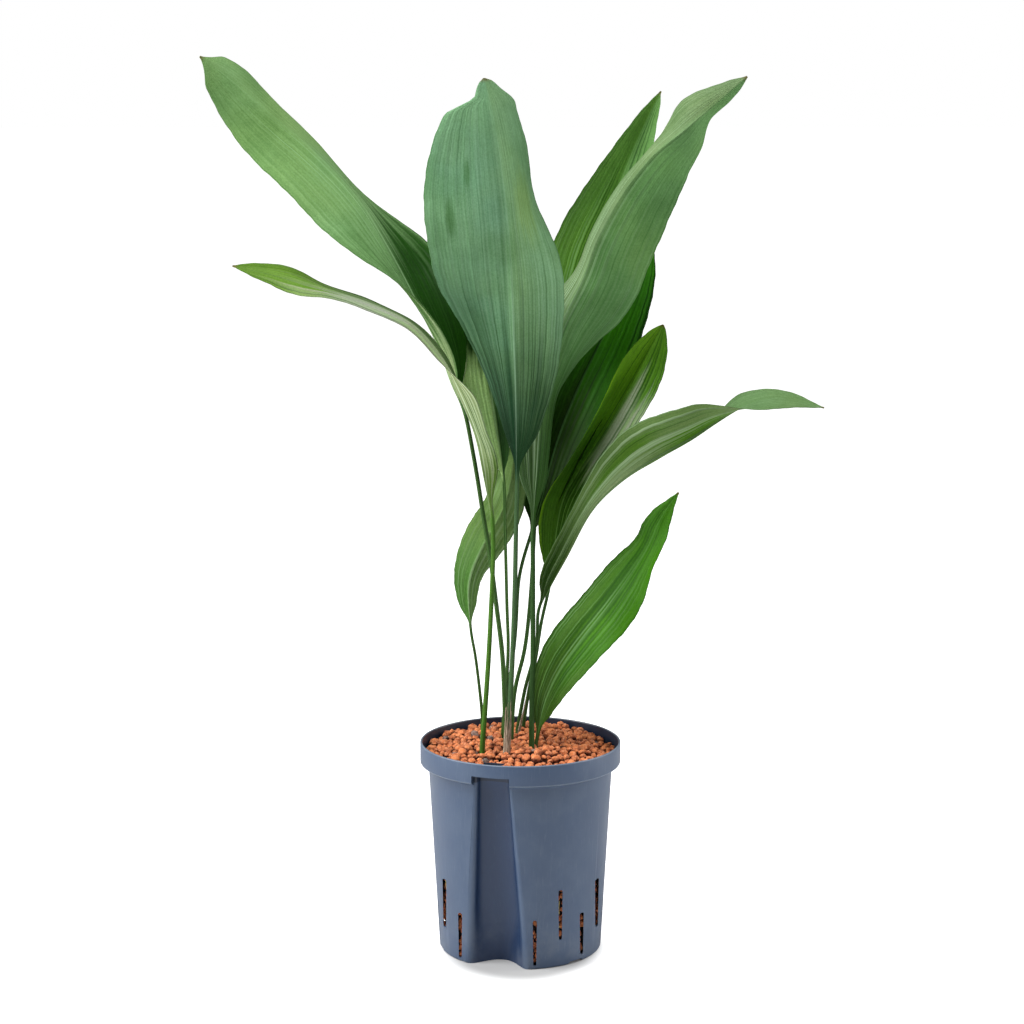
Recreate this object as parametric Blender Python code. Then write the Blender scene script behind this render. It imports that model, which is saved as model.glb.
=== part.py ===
"""Potted cast iron plant: eleven leaves on a buried rhizome, in clay granules, in a hydroculture pot.

Metres, +Z up. The origin is the centre of the pot's flat underside, and the front is towards -Y.
Leaf stations are in millimetres and are scaled by MM when a leaf is built.
"""
import math
import random

import bmesh
import bpy
import numpy as np
from mathutils import Vector
from mathutils.geometry import delaunay_2d_cdt

MM = 0.001
GAP = 0.0003                      # clearance between faces that touch on the real plant
PAST = 0.001                      # how far a cutter runs past the face that it cuts

# Culture pot, the 18/19 size: 180 mm across the rim and 190 mm high
POT_HEIGHT = 0.190
RIM_RADIUS = 0.090
BODY_TOP_RADIUS = 0.0825          # just under the rim band
BASE_RADIUS = 0.0730
BAND_HEIGHT = 0.020
BAND_FOOT = ((0.0025, 0.0005), (0.0006, 0.0020), (0, 0.0045))  # in from the rim, up from its foot
BASE_EDGE = 0.0015
LIP_EDGE = 0.0008
WALL = 0.0020
POT_SIDES = 60

# Channel for the water level indicator, sunk into the pot's wall
CHANNEL_ANGLE = math.radians(-17.5)   # from the front, towards -X
CHANNEL_HALF_WIDTH = (0.0240, 0.0141)  # at the base, under the band
CHANNEL_DEPTH = (0.0250, 0.0105)
CHANNEL_WALL_TOP = 0.1870
CHANNEL_BEVEL = 0.0025
CHANNEL_ROUNDNESS = 0.8           # 1 is an ellipse, less is squarer
CHANNEL_STEPS = 10
CHANNEL_REACH = 0.010             # how far its cutter runs out past the rim
BRIDGE_HEIGHT = 0.0115            # what is left of the band across the channel

# Openings in the pot's side and base
FIRST_SLOT = math.radians(27)      # from the channel, on each side of it
SLOT_PITCH = math.radians(18)
SLOTS_A_SIDE = 9
LOW_SLOT = (0.0030, 0.0460)       # bottom and top heights
HIGH_SLOT = (0.0250, 0.0720)
SLOT_WIDTH = (0.0024, 0.0036)     # at the bottom, at the top
SLOT_RADII = (0.063, 0.090)
ARCHES = 5                        # with the channel, six evenly round the base
ARCH_WIDTHS = (0.0200, 0.0140)
ARCH_HEIGHT = 0.0026
ARCH_RADII = (0.067, 0.083)
BESIDE_ARCH = math.radians(13)
SLOT_OVER_ARCH = 0.0060           # a low slot beside an arch starts this high
DRAIN_SLOTS = 8
DRAIN_RADII = (0.026, 0.044)
DRAIN_WIDTH = 0.0030

# Clay granules
SURFACE_HEIGHT = 0.1825
BED_RADIUS = 0.096                # the relief runs past the pot's wall, and is cut to it
BED_DEPTH = 0.010                 # how far below the pot's base it starts
GRANULE_PITCH = 0.0092
GRANULE_JITTER = 0.16             # of the pitch
GRANULE_RISE = 0.0020
PEAKS = (0.6, 1.3)                # of the rise, above the surface height
DIPS = (0.5, 1.2)                 # of the rise, below it
GRANULE_SEED = 4

# Rhizome and roots, buried in the granules
FOOT_HEIGHT = 0.158               # where the leaf stalks stand on the rhizome
RHIZOME_RADIUS = 0.0050
RHIZOME_DROP = 0.0093             # its axis, below the feet
STEM_OVERRUN = 0.003
CROWN_TAPER = (0.9, 0.8)          # of the rhizome's radius, at a crown's bottom and top
ROOT_RADIUS = 0.0016
ROOT_TAPER = (1.4, 1.2, 1.0, 0.8)
ROOT_COURSE = ((0, 0), (0.55, 0.25), (0.9, 0.65), (1, 1))  # shares of the reach and the depth
ROOT_DEPTH = 0.110
HOLE_MARGIN = 0.0009              # round a stalk where it passes through the granules

# Which feet each stem of the rhizome joins, and the foot, direction and reach of each root
RHIZOME_PATHS = (
    ("leaf_thin_left", "leaf_centre", "leaf_big_right", "leaf_lower_right"),
    ("leaf_centre", "leaf_big_left", "leaf_upper_right", "leaf_arching_right", "leaf_mid_right"),
    ("leaf_upper_right", "leaf_behind_centre", "leaf_dark_right", "leaf_lower_left"),
)
ROOTS = (("leaf_lower_right", 10, 0.045), ("leaf_mid_right", 60, 0.016),
         ("leaf_lower_left", 190, 0.016), ("leaf_thin_left", 185, 0.020))

# Leaves
BLADE_THICKNESS = 0.9             # millimetres, as the leaf stations
STALK_TAPER = 0.2                 # thinner at the blade by this share
RIB_TAPER = 0.85                  # and along the blade
RIB_DEPTH = 1.2                   # of the stalk's radius, on the under face
OPENING = 0.10                    # share of the blade over which the stalk flattens out
TIP_HALF_WIDTH = 0.8
BLADE_RISE = 0.9                  # power of the widening from the blade's base
MARGIN_CURL = (0.6, 1.4)          # of the fold, at the midrib and at the margin
STALK_RINGS = 11
BLADE_RINGS = 25
SPAN_STEPS = 24
ACROSS = (-1.0, -0.5, 0.0, 0.5, 1.0)
STALK_SPREAD = (162, 18)          # degrees round the stalk, at the first and last place across
WAVE_HEIGHT = 1.6
WAVES = 3.0
WAVE_SHIFT = 1.7                  # between the two margins

# Each leaf's stalk is a row of points, and its blade a row of stations: x, y, z, turn and fold.
# Turn 0 shows the upper face to the front, 180 the under face; fold lifts both halves off flat.
# A rise stands in for BLADE_RISE. Shoulders narrow a half from one share of the blade to another.
LEAVES = {
    "leaf_big_left": {
        "half_width": 48, "widest": 0.55, "radius": 2.3, "rise": 0.8,
        "stalk": [(-13, -14, 190), (-14, -12, 227), (-16, -9, 271), (-21, -6, 312),
                  (-27, -2, 360), (-33, 0, 395), (-38, 3, 428), (-44, 5, 462)],
        "blade": [(-49, 6, 487, -52, 60), (-60, 8, 512, -52, 68), (-72, 12, 545, -52, 62),
                  (-93, 17, 586, -52, 42), (-118, 22, 633, -59, 0), (-144, 26, 674, -61, -24),
                  (-181, 26, 714, -55, -30), (-221, 20, 749, -43, -33), (-254, 10, 778, -30, -24),
                  (-277, 0, 798, -28, -20)]},
    "leaf_thin_left": {
        "half_width": 30, "widest": 0.52, "radius": 2.4,
        "stalk": [(-34, -28, 190), (-31, -28, 230), (-28, -28, 275), (-26, -28, 315),
                  (-24, -28, 365)],
        "blade": [(-25, -29, 401, -135, 45), (-31, -31, 436, -130, 44), (-38, -36, 472, -104, 19),
                  (-52, -42, 508, -102, 14), (-67, -51, 541, -91, 0), (-92, -60, 571, -88, -2),
                  (-126, -66, 589, -84, -6), (-166, -70, 603, -84, -8), (-199, -74, 615, -52, -17),
                  (-243, -78, 622, -45, -8)]},
    "leaf_centre": {
        "half_width": 70, "widest": 0.63, "radius": 2.4,
        "stalk": [(-12, -32, 190), (-10, -31, 218), (-7, -30, 275), (-5, -29, 334),
                  (-4, -28, 387)],
        "blade": [(-3, -28, 433, 195, 50), (-4, -32, 502, 192, 43), (-6, -40, 555, 180, 38),
                  (-8, -50, 604, 163, 31), (-12, -60, 659, 147, 34), (-18, -68, 710, 147, 34),
                  (-24, -72, 747, 147, 30), (-31, -70, 780, 155, 15)],
        "shoulders": {1: (0.925, 0.960, 0.36), -1: (0.930, 0.985, 0.60)}},
    "leaf_lower_left": {
        "half_width": 23, "widest": 0.45, "radius": 1.6, "rise": 0.7,
        "stalk": [(-35, 46, 190), (-35, 40, 206), (-38, 37, 237), (-41, 33, 262)],
        "blade": [(-45, 30, 288, 175, 50), (-46, 28, 330, 172, 48), (-32, 30, 365, 178, 32),
                  (-16, 32, 394, 180, 25), (-7, 34, 422, 180, 20), (0, 36, 450, 180, 10)]},
    "leaf_behind_centre": {
        "half_width": 28, "widest": 0.50, "radius": 1.7, "rise": 0.7,
        "stalk": [(-16, 24, 190), (-11, 22, 264), (-12, 22, 306), (-13, 24, 350),
                  (-14, 25, 388)],
        "blade": [(-15, 27, 424, 10, 50), (-24, 32, 485, 10, 40), (-29, 36, 521, 10, 30),
                  (-29, 42, 565, 10, 20), (-24, 46, 616, 10, 10)]},
    "leaf_lower_right": {
        "half_width": 28, "widest": 0.48, "radius": 2.0,
        "stalk": [(14, -14, 190)],
        "blade": [(15, -14, 196, 20, 30), (21, -15, 227, 24, 20), (34, -18, 257, 30, 16),
                  (54, -22, 287, 36, 6), (75, -26, 315, 36, 0), (94, -30, 343, 42, 0),
                  (111, -36, 372, 54, 4), (121, -40, 398, 26, 4), (137, -44, 423, 25, 0)]},
    "leaf_big_right": {
        "half_width": 54, "widest": 0.47, "radius": 2.5, "rise": 0.8,
        "stalk": [(10, -25, 190), (10, -23, 229), (11, -20, 273), (11, -16, 327),
                  (11, -12, 356)],
        "blade": [(11, -9, 388, 180, 45), (14, -4, 436, 172, 58), (18, 2, 494, 170, 62),
                  (25, 6, 528, 176, 57), (36, 8, 564, 192, 52), (55, 8, 603, 213, 50),
                  (69, 6, 640, 217, 48), (91, 4, 680, 218, 46), (116, 0, 712, 218, 45),
                  (138, -3, 730, 194, 46), (159, -8, 749, 157, 43), (194, -14, 779, 172, 20)]},
    "leaf_upper_right": {
        "half_width": 38, "widest": 0.50, "radius": 2.0,
        "stalk": [(-8, 10, 190), (-5, 18, 232), (4, 24, 268), (9, 34, 312),
                  (12, 52, 355)],
        "blade": [(15, 70, 394, 0, 45), (24, 84, 433, 0, 45), (37, 98, 495, 0, 42),
                  (49, 108, 558, 5, 35), (64, 114, 617, 12, 25), (83, 118, 663, 10, 27),
                  (101, 122, 708, 0, 32), (116, 124, 741, 0, 32), (128, 126, 765, 0, 20)]},
    "leaf_dark_right": {
        "half_width": 37, "widest": 0.50, "radius": 1.9, "rise": 0.75,
        "stalk": [(-15, 46, 190), (-5, 50, 271), (-2, 52, 321), (3, 54, 350),
                  (8, 56, 372)],
        "blade": [(16, 59, 398, 10, 40), (32, 62, 448, 10, 30), (50, 66, 495, 10, 22),
                  (69, 72, 534, 10, 15), (85, 78, 566, 10, 12), (101, 84, 597, 5, 14),
                  (117, 90, 632, 0, 10)]},
    "leaf_mid_right": {
        "half_width": 36, "widest": 0.55, "radius": 1.8,
        "stalk": [(3, 50, 190), (8, 44, 226), (14, 42, 255), (19, 41, 289)],
        "blade": [(26, 41, 321, 0, 45), (30, 44, 348, 5, 42), (33, 47, 375, 5, 44),
                  (39, 49, 402, 0, 53), (54, 51, 430, -3, 61), (75, 51, 463, -3, 59),
                  (94, 48, 496, -2, 52), (112, 43, 530, -2, 32), (127, 36, 561, 0, 15)]},
    "leaf_arching_right": {
        "half_width": 39, "widest": 0.50, "radius": 1.9, "rise": 1.1,
        "stalk": [(-3, 24, 190), (4, 22, 231), (10, 17, 255), (15, 10, 280)],
        "blade": [(16, 2, 309, 130, 40), (25, -8, 332, 124, 36), (40, -15, 361, 114, 24),
                  (62, -19, 403, 107, 17), (89, -20, 430, 116, 26), (119, -21, 449, 130, 40),
                  (148, -24, 466, 125, 35), (172, -27, 483, 113, 24), (195, -30, 497, 80, 12),
                  (225, -33, 504, 63, -2), (263, -36, 496, 52, 0)]},
}

# Dry sheaths: the stalk that each is wrapped round, its two heights and the opening's direction
SHEATHS = {
    "dry_sheath_centre": ("leaf_centre", 0.1865, 0.222, 40),
    "dry_sheath_right": ("leaf_arching_right", 0.1865, 0.216, 200),
}
SHEATH_CLEARANCE = 0.0006
SHEATH_THICKNESS = 0.0007
SHEATH_FLARE = 0.0006             # thicker at the top by this much
SHEATH_RINGS = 5
SHEATH_STEPS = 8
SHEATH_WRAP = math.radians(250)
SHEATH_UNWRAP = 0.35              # share of the wrap that is lost at the top
SHEATH_RAGGED = (0.003, 2.4)      # how much the top rises and falls, and how fast round it

COLOURS = {
    "pot": ((0.085, 0.12, 0.18, 1), 0.45),
    "clay": ((0.42, 0.15, 0.07, 1), 0.95),
    "root": ((0.55, 0.42, 0.22, 1), 0.8),
    "leaf": ((0.05, 0.17, 0.05, 1), 0.5),
    "sheath": ((0.40, 0.26, 0.13, 1), 0.8),
}


def clear_scene():
    for item in list(bpy.data.objects):
        bpy.data.objects.remove(item, do_unlink=True)


def get_material(name):
    material = bpy.data.materials.get(name)
    if material is None:
        colour, roughness = COLOURS[name]
        material = bpy.data.materials.new(name)
        material.use_nodes = True
        shader = material.node_tree.nodes["Principled BSDF"]
        shader.inputs["Base Color"].default_value = colour
        shader.inputs["Roughness"].default_value = roughness
        shader.inputs["Metallic"].default_value = 0.0
    return material


def add_object(name, points, faces, material=None):
    mesh = bpy.data.meshes.new(name)
    mesh.from_pydata([tuple(point) for point in points], [], faces)
    mesh.validate()
    thing = bpy.data.objects.new(name, mesh)
    bpy.context.scene.collection.objects.link(thing)
    if material:
        mesh.materials.append(get_material(material))
    return thing


def shade(thing, angle=40):
    thing.data.shade_smooth()
    thing.data.set_sharp_from_angle(angle=math.radians(angle))


def combine(target, tool, operation, solver="EXACT"):
    """Applies a Boolean to the target and removes the tool."""
    modifier = target.modifiers.new("Boolean", "BOOLEAN")
    modifier.operation = operation
    modifier.object = tool
    modifier.solver = solver
    evaluated = target.evaluated_get(bpy.context.evaluated_depsgraph_get())
    mesh = bpy.data.meshes.new_from_object(evaluated)
    target.modifiers.clear()
    target.data = mesh
    bpy.data.objects.remove(tool, do_unlink=True)


def loft(name, rings, material=None):
    """A closed solid through rings of equally many points, each anticlockwise seen from the last."""
    count = len(rings[0])
    faces = [tuple(reversed(range(count)))]
    for level in range(len(rings) - 1):
        low, high = level * count, (level + 1) * count
        for k in range(count):
            nxt = (k + 1) % count
            faces.append((low + k, low + nxt, high + nxt, high + k))
    faces.append(tuple(range((len(rings) - 1) * count, len(rings) * count)))
    return add_object(name, [point for ring in rings for point in ring], faces, material)


def turned(name, profile, material=None, sides=POT_SIDES):
    """A closed turned solid; the profile is (radius, height) from the lowest to the highest."""
    rings = []
    for radius, height in profile:
        angles = [2 * math.pi * k / sides for k in range(sides)]
        rings.append([(radius * math.cos(a), radius * math.sin(a), height) for a in angles])
    return loft(name, rings, material)


def on_pot(along, outward, height, angle=CHANNEL_ANGLE):
    """A point given across and outward of a direction that is measured from the front."""
    side = Vector((math.cos(angle), math.sin(angle), 0))
    out = Vector((math.sin(angle), -math.cos(angle), 0))
    return side * along + out * outward + Vector((0, 0, height))


def body_radius(height):
    share = height / (POT_HEIGHT - BAND_HEIGHT)
    return BASE_RADIUS + (BODY_TOP_RADIUS - BASE_RADIUS) * share


# Culture pot

def pot_profile(inset=0.0):
    """The pot's outer outline, or with an inset its hollow, from the base to above the rim."""
    band = POT_HEIGHT - BAND_HEIGHT
    if not inset:
        foot = [(RIM_RADIUS - back, band + up) for back, up in BAND_FOOT]
        return [(BASE_RADIUS - BASE_EDGE, 0), (BASE_RADIUS, BASE_EDGE), (BODY_TOP_RADIUS, band - WALL),
                *foot, (RIM_RADIUS, POT_HEIGHT - LIP_EDGE), (RIM_RADIUS - LIP_EDGE, POT_HEIGHT)]
    floor = body_radius(inset) - inset
    return [(floor - BASE_EDGE, inset), (floor, inset + BASE_EDGE),
            (BODY_TOP_RADIUS - inset, band - WALL / 2), (RIM_RADIUS - inset, band + BAND_FOOT[-1][1]),
            (RIM_RADIUS - inset, POT_HEIGHT + PAST)]


def channel_ring(height, margin, outward):
    """The channel's outline at a height; the margin adds the thickness of its wall."""
    share = min(1, height / (POT_HEIGHT - BAND_HEIGHT))
    half = CHANNEL_HALF_WIDTH[0] + (CHANNEL_HALF_WIDTH[1] - CHANNEL_HALF_WIDTH[0]) * share + margin
    depth = CHANNEL_DEPTH[0] + (CHANNEL_DEPTH[1] - CHANNEL_DEPTH[0]) * share + margin
    wall = body_radius(min(height, POT_HEIGHT - BAND_HEIGHT))
    mouth = math.sqrt(wall ** 2 - half ** 2)
    flare = half + CHANNEL_BEVEL
    ring = [on_pot(flare, outward(flare), height), on_pot(flare, mouth + CHANNEL_BEVEL / 2, height)]
    for k in range(CHANNEL_STEPS + 1):
        angle = math.pi * k / CHANNEL_STEPS
        across = math.copysign(abs(math.cos(angle)) ** CHANNEL_ROUNDNESS, math.cos(angle)) * half
        inward = math.sin(angle) ** CHANNEL_ROUNDNESS * (depth - (wall - mouth))
        ring.append(on_pot(across, mouth - CHANNEL_BEVEL / 2 - inward, height))
    ring += [on_pot(-flare, mouth + CHANNEL_BEVEL / 2, height), on_pot(-flare, outward(flare), height)]
    return ring


def channel_solid(name, heights, margin, outward):
    return loft(name, [channel_ring(height, margin, outward) for height in heights])


def beyond_wall(across):
    return RIM_RADIUS + CHANNEL_REACH


def behind_band(across):
    return math.sqrt((RIM_RADIUS - WALL - GAP / 3) ** 2 - across ** 2)


def wedge(angle, low, high, widths, radii):
    """Rings of a radial cutter whose width changes with its height."""
    inner, outer = radii
    rings = []
    for height, width in ((low, widths[0]), (high, widths[1])):
        half = width / 2
        rings.append([on_pot(-half, outer, height, angle), on_pot(half, outer, height, angle),
                      on_pot(half, inner, height, angle), on_pot(-half, inner, height, angle)])
    return rings


def join_cutters(name, ring_sets):
    points, faces = [], []
    for rings in ring_sets:
        base, count = len(points), len(rings[0])
        points += [point for ring in rings for point in ring]
        faces.append(tuple(base + k for k in reversed(range(count))))
        for k in range(count):
            nxt = (k + 1) % count
            faces.append((base + k, base + nxt, base + count + nxt, base + count + k))
        faces.append(tuple(base + count + k for k in range(count)))
    return add_object(name, points, faces)


def slot_cutters():
    """Low and high slots by turns, alike on both sides of the channel."""
    cutters = []
    pitch = 2 * math.pi / (ARCHES + 1)
    for k in range(SLOTS_A_SIDE):
        low, high = HIGH_SLOT if k % 2 else LOW_SLOT
        offset = FIRST_SLOT + SLOT_PITCH * k
        from_arch = abs((offset + pitch / 2) % pitch - pitch / 2)
        if not k % 2 and from_arch < BESIDE_ARCH:
            low = SLOT_OVER_ARCH
        for side in (-1, 1):
            cutters.append(wedge(CHANNEL_ANGLE + side * offset, low, high, SLOT_WIDTH, SLOT_RADII))
    return cutters


def arch_cutters():
    pitch = 2 * math.pi / (ARCHES + 1)
    return [wedge(CHANNEL_ANGLE + pitch * k, -PAST, ARCH_HEIGHT, ARCH_WIDTHS, ARCH_RADII)
            for k in range(1, ARCHES + 1)]


def drain_cutters():
    pitch = 2 * math.pi / (DRAIN_SLOTS + 1)
    return [wedge(CHANNEL_ANGLE + pitch * k, -PAST, WALL + PAST, (DRAIN_WIDTH, DRAIN_WIDTH), DRAIN_RADII)
            for k in range(1, DRAIN_SLOTS + 1)]


def make_pot():
    bridge, band = POT_HEIGHT - BRIDGE_HEIGHT, POT_HEIGHT - BAND_HEIGHT
    hollow = turned("hollow", pot_profile(WALL))
    wall = channel_solid("channel_wall", (-PAST, band, CHANNEL_WALL_TOP), WALL, beyond_wall)
    combine(hollow, wall, "DIFFERENCE")
    pot = turned("culture_pot", pot_profile(), "pot")
    combine(pot, hollow, "DIFFERENCE")
    below = channel_solid("channel_below", (-PAST, band, bridge), 0, beyond_wall)
    combine(pot, below, "DIFFERENCE")
    behind = channel_solid("channel_behind", (bridge - PAST, POT_HEIGHT + PAST), -GAP, behind_band)
    combine(pot, behind, "DIFFERENCE")
    combine(pot, join_cutters("slots", slot_cutters()), "DIFFERENCE")
    combine(pot, join_cutters("base_cuts", arch_cutters() + drain_cutters()), "DIFFERENCE")
    shade(pot, 25)
    return pot


# Stalks, roots and the rhizome

def tube(name, route, radii, sides, material=None):
    """A closed tube of straight-sided rings, each ring square to the route."""
    rings = []
    for k, point in enumerate(route):
        before, after = route[max(k - 1, 0)], route[min(k + 1, len(route) - 1)]
        ahead = (Vector(after) - Vector(before)).normalized()
        turn = Vector((0, 0, 1)).rotation_difference(ahead).to_matrix()
        ring = []
        for j in range(sides):
            angle = 2 * math.pi * j / sides
            spoke = Vector((math.cos(angle), math.sin(angle), 0)) * radii[k]
            ring.append(Vector(point) + turn @ spoke)
        rings.append(ring)
    return loft(name, rings, material)


def foot_of(leaf):
    x, y, _ = leaf["stalk"][0]
    return Vector((x * MM, y * MM, FOOT_HEIGHT))


def rhizome_parts(margin):
    """The shapes that make up the rhizome, each larger by the margin."""
    radius = RHIZOME_RADIUS + margin
    axis = FOOT_HEIGHT - RHIZOME_DROP
    parts = []
    for path in RHIZOME_PATHS:
        feet = [foot_of(LEAVES[name]) for name in path]
        for foot, following in zip(feet, feet[1:]):
            start, end = Vector((foot.x, foot.y, axis)), Vector((following.x, following.y, axis))
            past = (end - start).normalized() * (STEM_OVERRUN + margin)
            parts.append(tube("stem", [start - past, end + past], [radius, radius], 6))
    for name in LEAVES:
        foot = foot_of(LEAVES[name])
        ends = (axis - STEM_OVERRUN - margin, FOOT_HEIGHT - GAP + margin)
        parts.append(tube("crown", [(foot.x, foot.y, height) for height in ends],
                          [radius * taper for taper in CROWN_TAPER], 7))
    for name, direction, reach in ROOTS:
        foot = foot_of(LEAVES[name])
        angle = math.radians(direction)
        out = Vector((math.cos(angle), math.sin(angle), 0)) * reach
        source = Vector((foot.x, foot.y, axis))
        route = [source + out * along - Vector((0, 0, ROOT_DEPTH * down)) for along, down in ROOT_COURSE]
        route[-1] = route[-1] + (route[-1] - route[-2]).normalized() * margin
        thick = ROOT_RADIUS + margin
        parts.append(tube("root", route, [thick * taper for taper in ROOT_TAPER], 5))
    return parts


def make_rhizome(name, margin=0.0, material=None):
    parts = rhizome_parts(margin)
    rhizome = parts[0]
    for part in parts[1:]:
        combine(rhizome, part, "UNION")
    rhizome.name = name
    if material:
        rhizome.data.materials.clear()
        rhizome.data.materials.append(get_material(material))
    return rhizome


# Clay granules

def granule_points():
    """Jittered places of the granules on the surface, out past the pot's wall."""
    draw = random.Random(GRANULE_SEED)
    step = GRANULE_PITCH * math.sqrt(3) / 2
    shift = GRANULE_PITCH * GRANULE_JITTER
    rows = int(BED_RADIUS / step) + 1
    columns = int(BED_RADIUS / GRANULE_PITCH) + 2
    points = []
    for row in range(-rows, rows + 1):
        for column in range(-columns, columns + 1):
            x = (column + 0.5 * (row % 2)) * GRANULE_PITCH + draw.uniform(-shift, shift)
            y = row * step + draw.uniform(-shift, shift)
            if math.hypot(x, y) < BED_RADIUS:
                points.append(Vector((x, y)))
    return points


def circle_centre(a, b, c):
    """The point equally far from three granules, where the surface dips."""
    p, q = b - a, c - a
    area = 2 * (p.x * q.y - p.y * q.x)
    x = (q.y * p.length_squared - p.y * q.length_squared) / area
    y = (p.x * q.length_squared - q.x * p.length_squared) / area
    return a + Vector((x, y))


def granule_relief():
    """A thick disc whose top is a bed of rounded granules."""
    centres = granule_points()
    triangles = delaunay_2d_cdt(centres, [], [], 0, 1e-6)[2]
    draw = random.Random(GRANULE_SEED + 1)
    points = [Vector((p.x, p.y, SURFACE_HEIGHT + GRANULE_RISE * draw.uniform(*PEAKS)))
              for p in centres]
    for a, b, c in triangles:
        dip = circle_centre(centres[a], centres[b], centres[c])
        if dip.length < BED_RADIUS:
            points.append(Vector((dip.x, dip.y, SURFACE_HEIGHT - GRANULE_RISE * draw.uniform(*DIPS))))
    flat = [Vector((p.x, p.y)) for p in points]
    top = delaunay_2d_cdt(flat, [], [], 0, 1e-6)[2]
    mesh = bmesh.new()
    upper = [mesh.verts.new(p) for p in points]
    faces = [mesh.faces.new([upper[k] for k in face]) for face in top]
    bmesh.ops.recalc_face_normals(mesh, faces=faces)
    if sum(face.normal.z for face in faces) < 0:
        bmesh.ops.reverse_faces(mesh, faces=faces)
    rim = [edge for edge in mesh.edges if edge.is_boundary]
    skirt = bmesh.ops.extrude_edge_only(mesh, edges=rim)["geom"]
    lower = [item for item in skirt if isinstance(item, bmesh.types.BMVert)]
    for vert in lower:
        vert.co.z = -BED_DEPTH
    bmesh.ops.contextual_create(mesh, geom=[edge for edge in mesh.edges if edge.is_boundary])
    bmesh.ops.recalc_face_normals(mesh, faces=mesh.faces[:])
    relief = add_object("clay_granules", [], [], "clay")
    mesh.to_mesh(relief.data)
    mesh.free()
    return relief


def make_granules():
    granules = granule_relief()
    filling = turned("filling", [(radius - GAP, height + GAP) for radius, height in pot_profile(WALL)])
    heights = (-PAST, POT_HEIGHT - BAND_HEIGHT, POT_HEIGHT + 2 * PAST)
    wall = channel_solid("channel_wall", heights, WALL + GAP, beyond_wall)
    combine(filling, wall, "DIFFERENCE")
    combine(granules, filling, "INTERSECT")
    combine(granules, make_rhizome("rhizome_space", GAP), "DIFFERENCE")
    for leaf in LEAVES.values():
        foot = foot_of(leaf)
        radius = leaf["radius"] * MM + HOLE_MARGIN
        hole = tube("hole", [(foot.x, foot.y, FOOT_HEIGHT - PAST), (foot.x, foot.y, POT_HEIGHT)],
                    [radius, radius], 10)
        combine(granules, hole, "DIFFERENCE")
    shade(granules, 60)
    return granules


# Leaves

def through(rows, per_span):
    """Points on the smooth curve through the rows, evenly many in each span."""
    rows = np.array(rows, float)
    rows = np.vstack([2 * rows[0] - rows[1], rows, 2 * rows[-1] - rows[-2]])
    points = []
    for a, b, c, d in zip(rows, rows[1:], rows[2:], rows[3:]):
        for t in np.arange(per_span) / per_span:
            points.append(b + 0.5 * t * (c - a + t * (2 * a - 5 * b + 4 * c - d
                                                      + t * (3 * (b - c) + d - a))))
    points.append(rows[-2])
    return np.array(points)


def leaf_line(leaf):
    """Rows of x, y, z, turn and fold up the leaf, and each row's share of the blade's length."""
    start = leaf["blade"][0][3:]
    x, y, surface = leaf["stalk"][0]
    buried = [(x, y, FOOT_HEIGHT / MM), (x, y, (FOOT_HEIGHT / MM + surface) / 2)]
    stalk = buried + leaf["stalk"]
    rows = [point + start for point in stalk] + leaf["blade"]
    dense = through(rows, SPAN_STEPS)
    length = np.insert(np.linalg.norm(np.diff(dense[:, :3], axis=0), axis=1).cumsum(), 0, 0)
    joint = length[SPAN_STEPS * len(stalk)]
    stops = np.concatenate([np.linspace(0, joint, STALK_RINGS, endpoint=False),
                            np.linspace(joint, length[-1], BLADE_RINGS)])
    line = np.column_stack([np.interp(stops, length, column) for column in dense.T])
    return line, (stops - joint) / (length[-1] - joint), stops / joint


def leaf_frames(line):
    """Two directions at each row: across the blade, and out of its upper face."""
    ahead = np.gradient(line[:, :3], axis=0)
    ahead /= np.linalg.norm(ahead, axis=1)[:, None]
    side = np.cross((0, 1, 0), ahead)
    side /= np.linalg.norm(side, axis=1)[:, None]
    front = np.cross(side, ahead)
    turn = np.radians(line[:, 3])[:, None]
    return np.cos(turn) * side + np.sin(turn) * front, np.cos(turn) * front - np.sin(turn) * side


def blade_width(leaf, share, side):
    """Half the blade's width: a quick rise, its widest place, a fall, and a shoulder by the tip."""
    widest, rise = leaf["widest"], leaf.get("rise", BLADE_RISE)
    share = np.clip(share, 0, 1)
    width = leaf["half_width"] * (share / widest) ** rise
    width = width * ((1 - share) / (1 - widest)) ** (rise * (1 - widest) / widest)
    if "shoulders" in leaf:
        start, end, kept = leaf["shoulders"][side]
        drop = np.clip((share - start) / (end - start), 0, 1)
        width = width * (1 - (1 - kept) * drop * drop * (3 - 2 * drop))
    return width


def half_arc(fold, reach, steps=8):
    """Across and lift of a point on a half blade, which curves more towards its margin."""
    places = (np.arange(steps) + 0.5) / steps * reach
    lift = np.radians(fold)[:, None] * np.interp(places, (0, 1), MARGIN_CURL)
    return np.cos(lift).sum(axis=1) * reach / steps, np.sin(lift).sum(axis=1) * reach / steps


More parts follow.
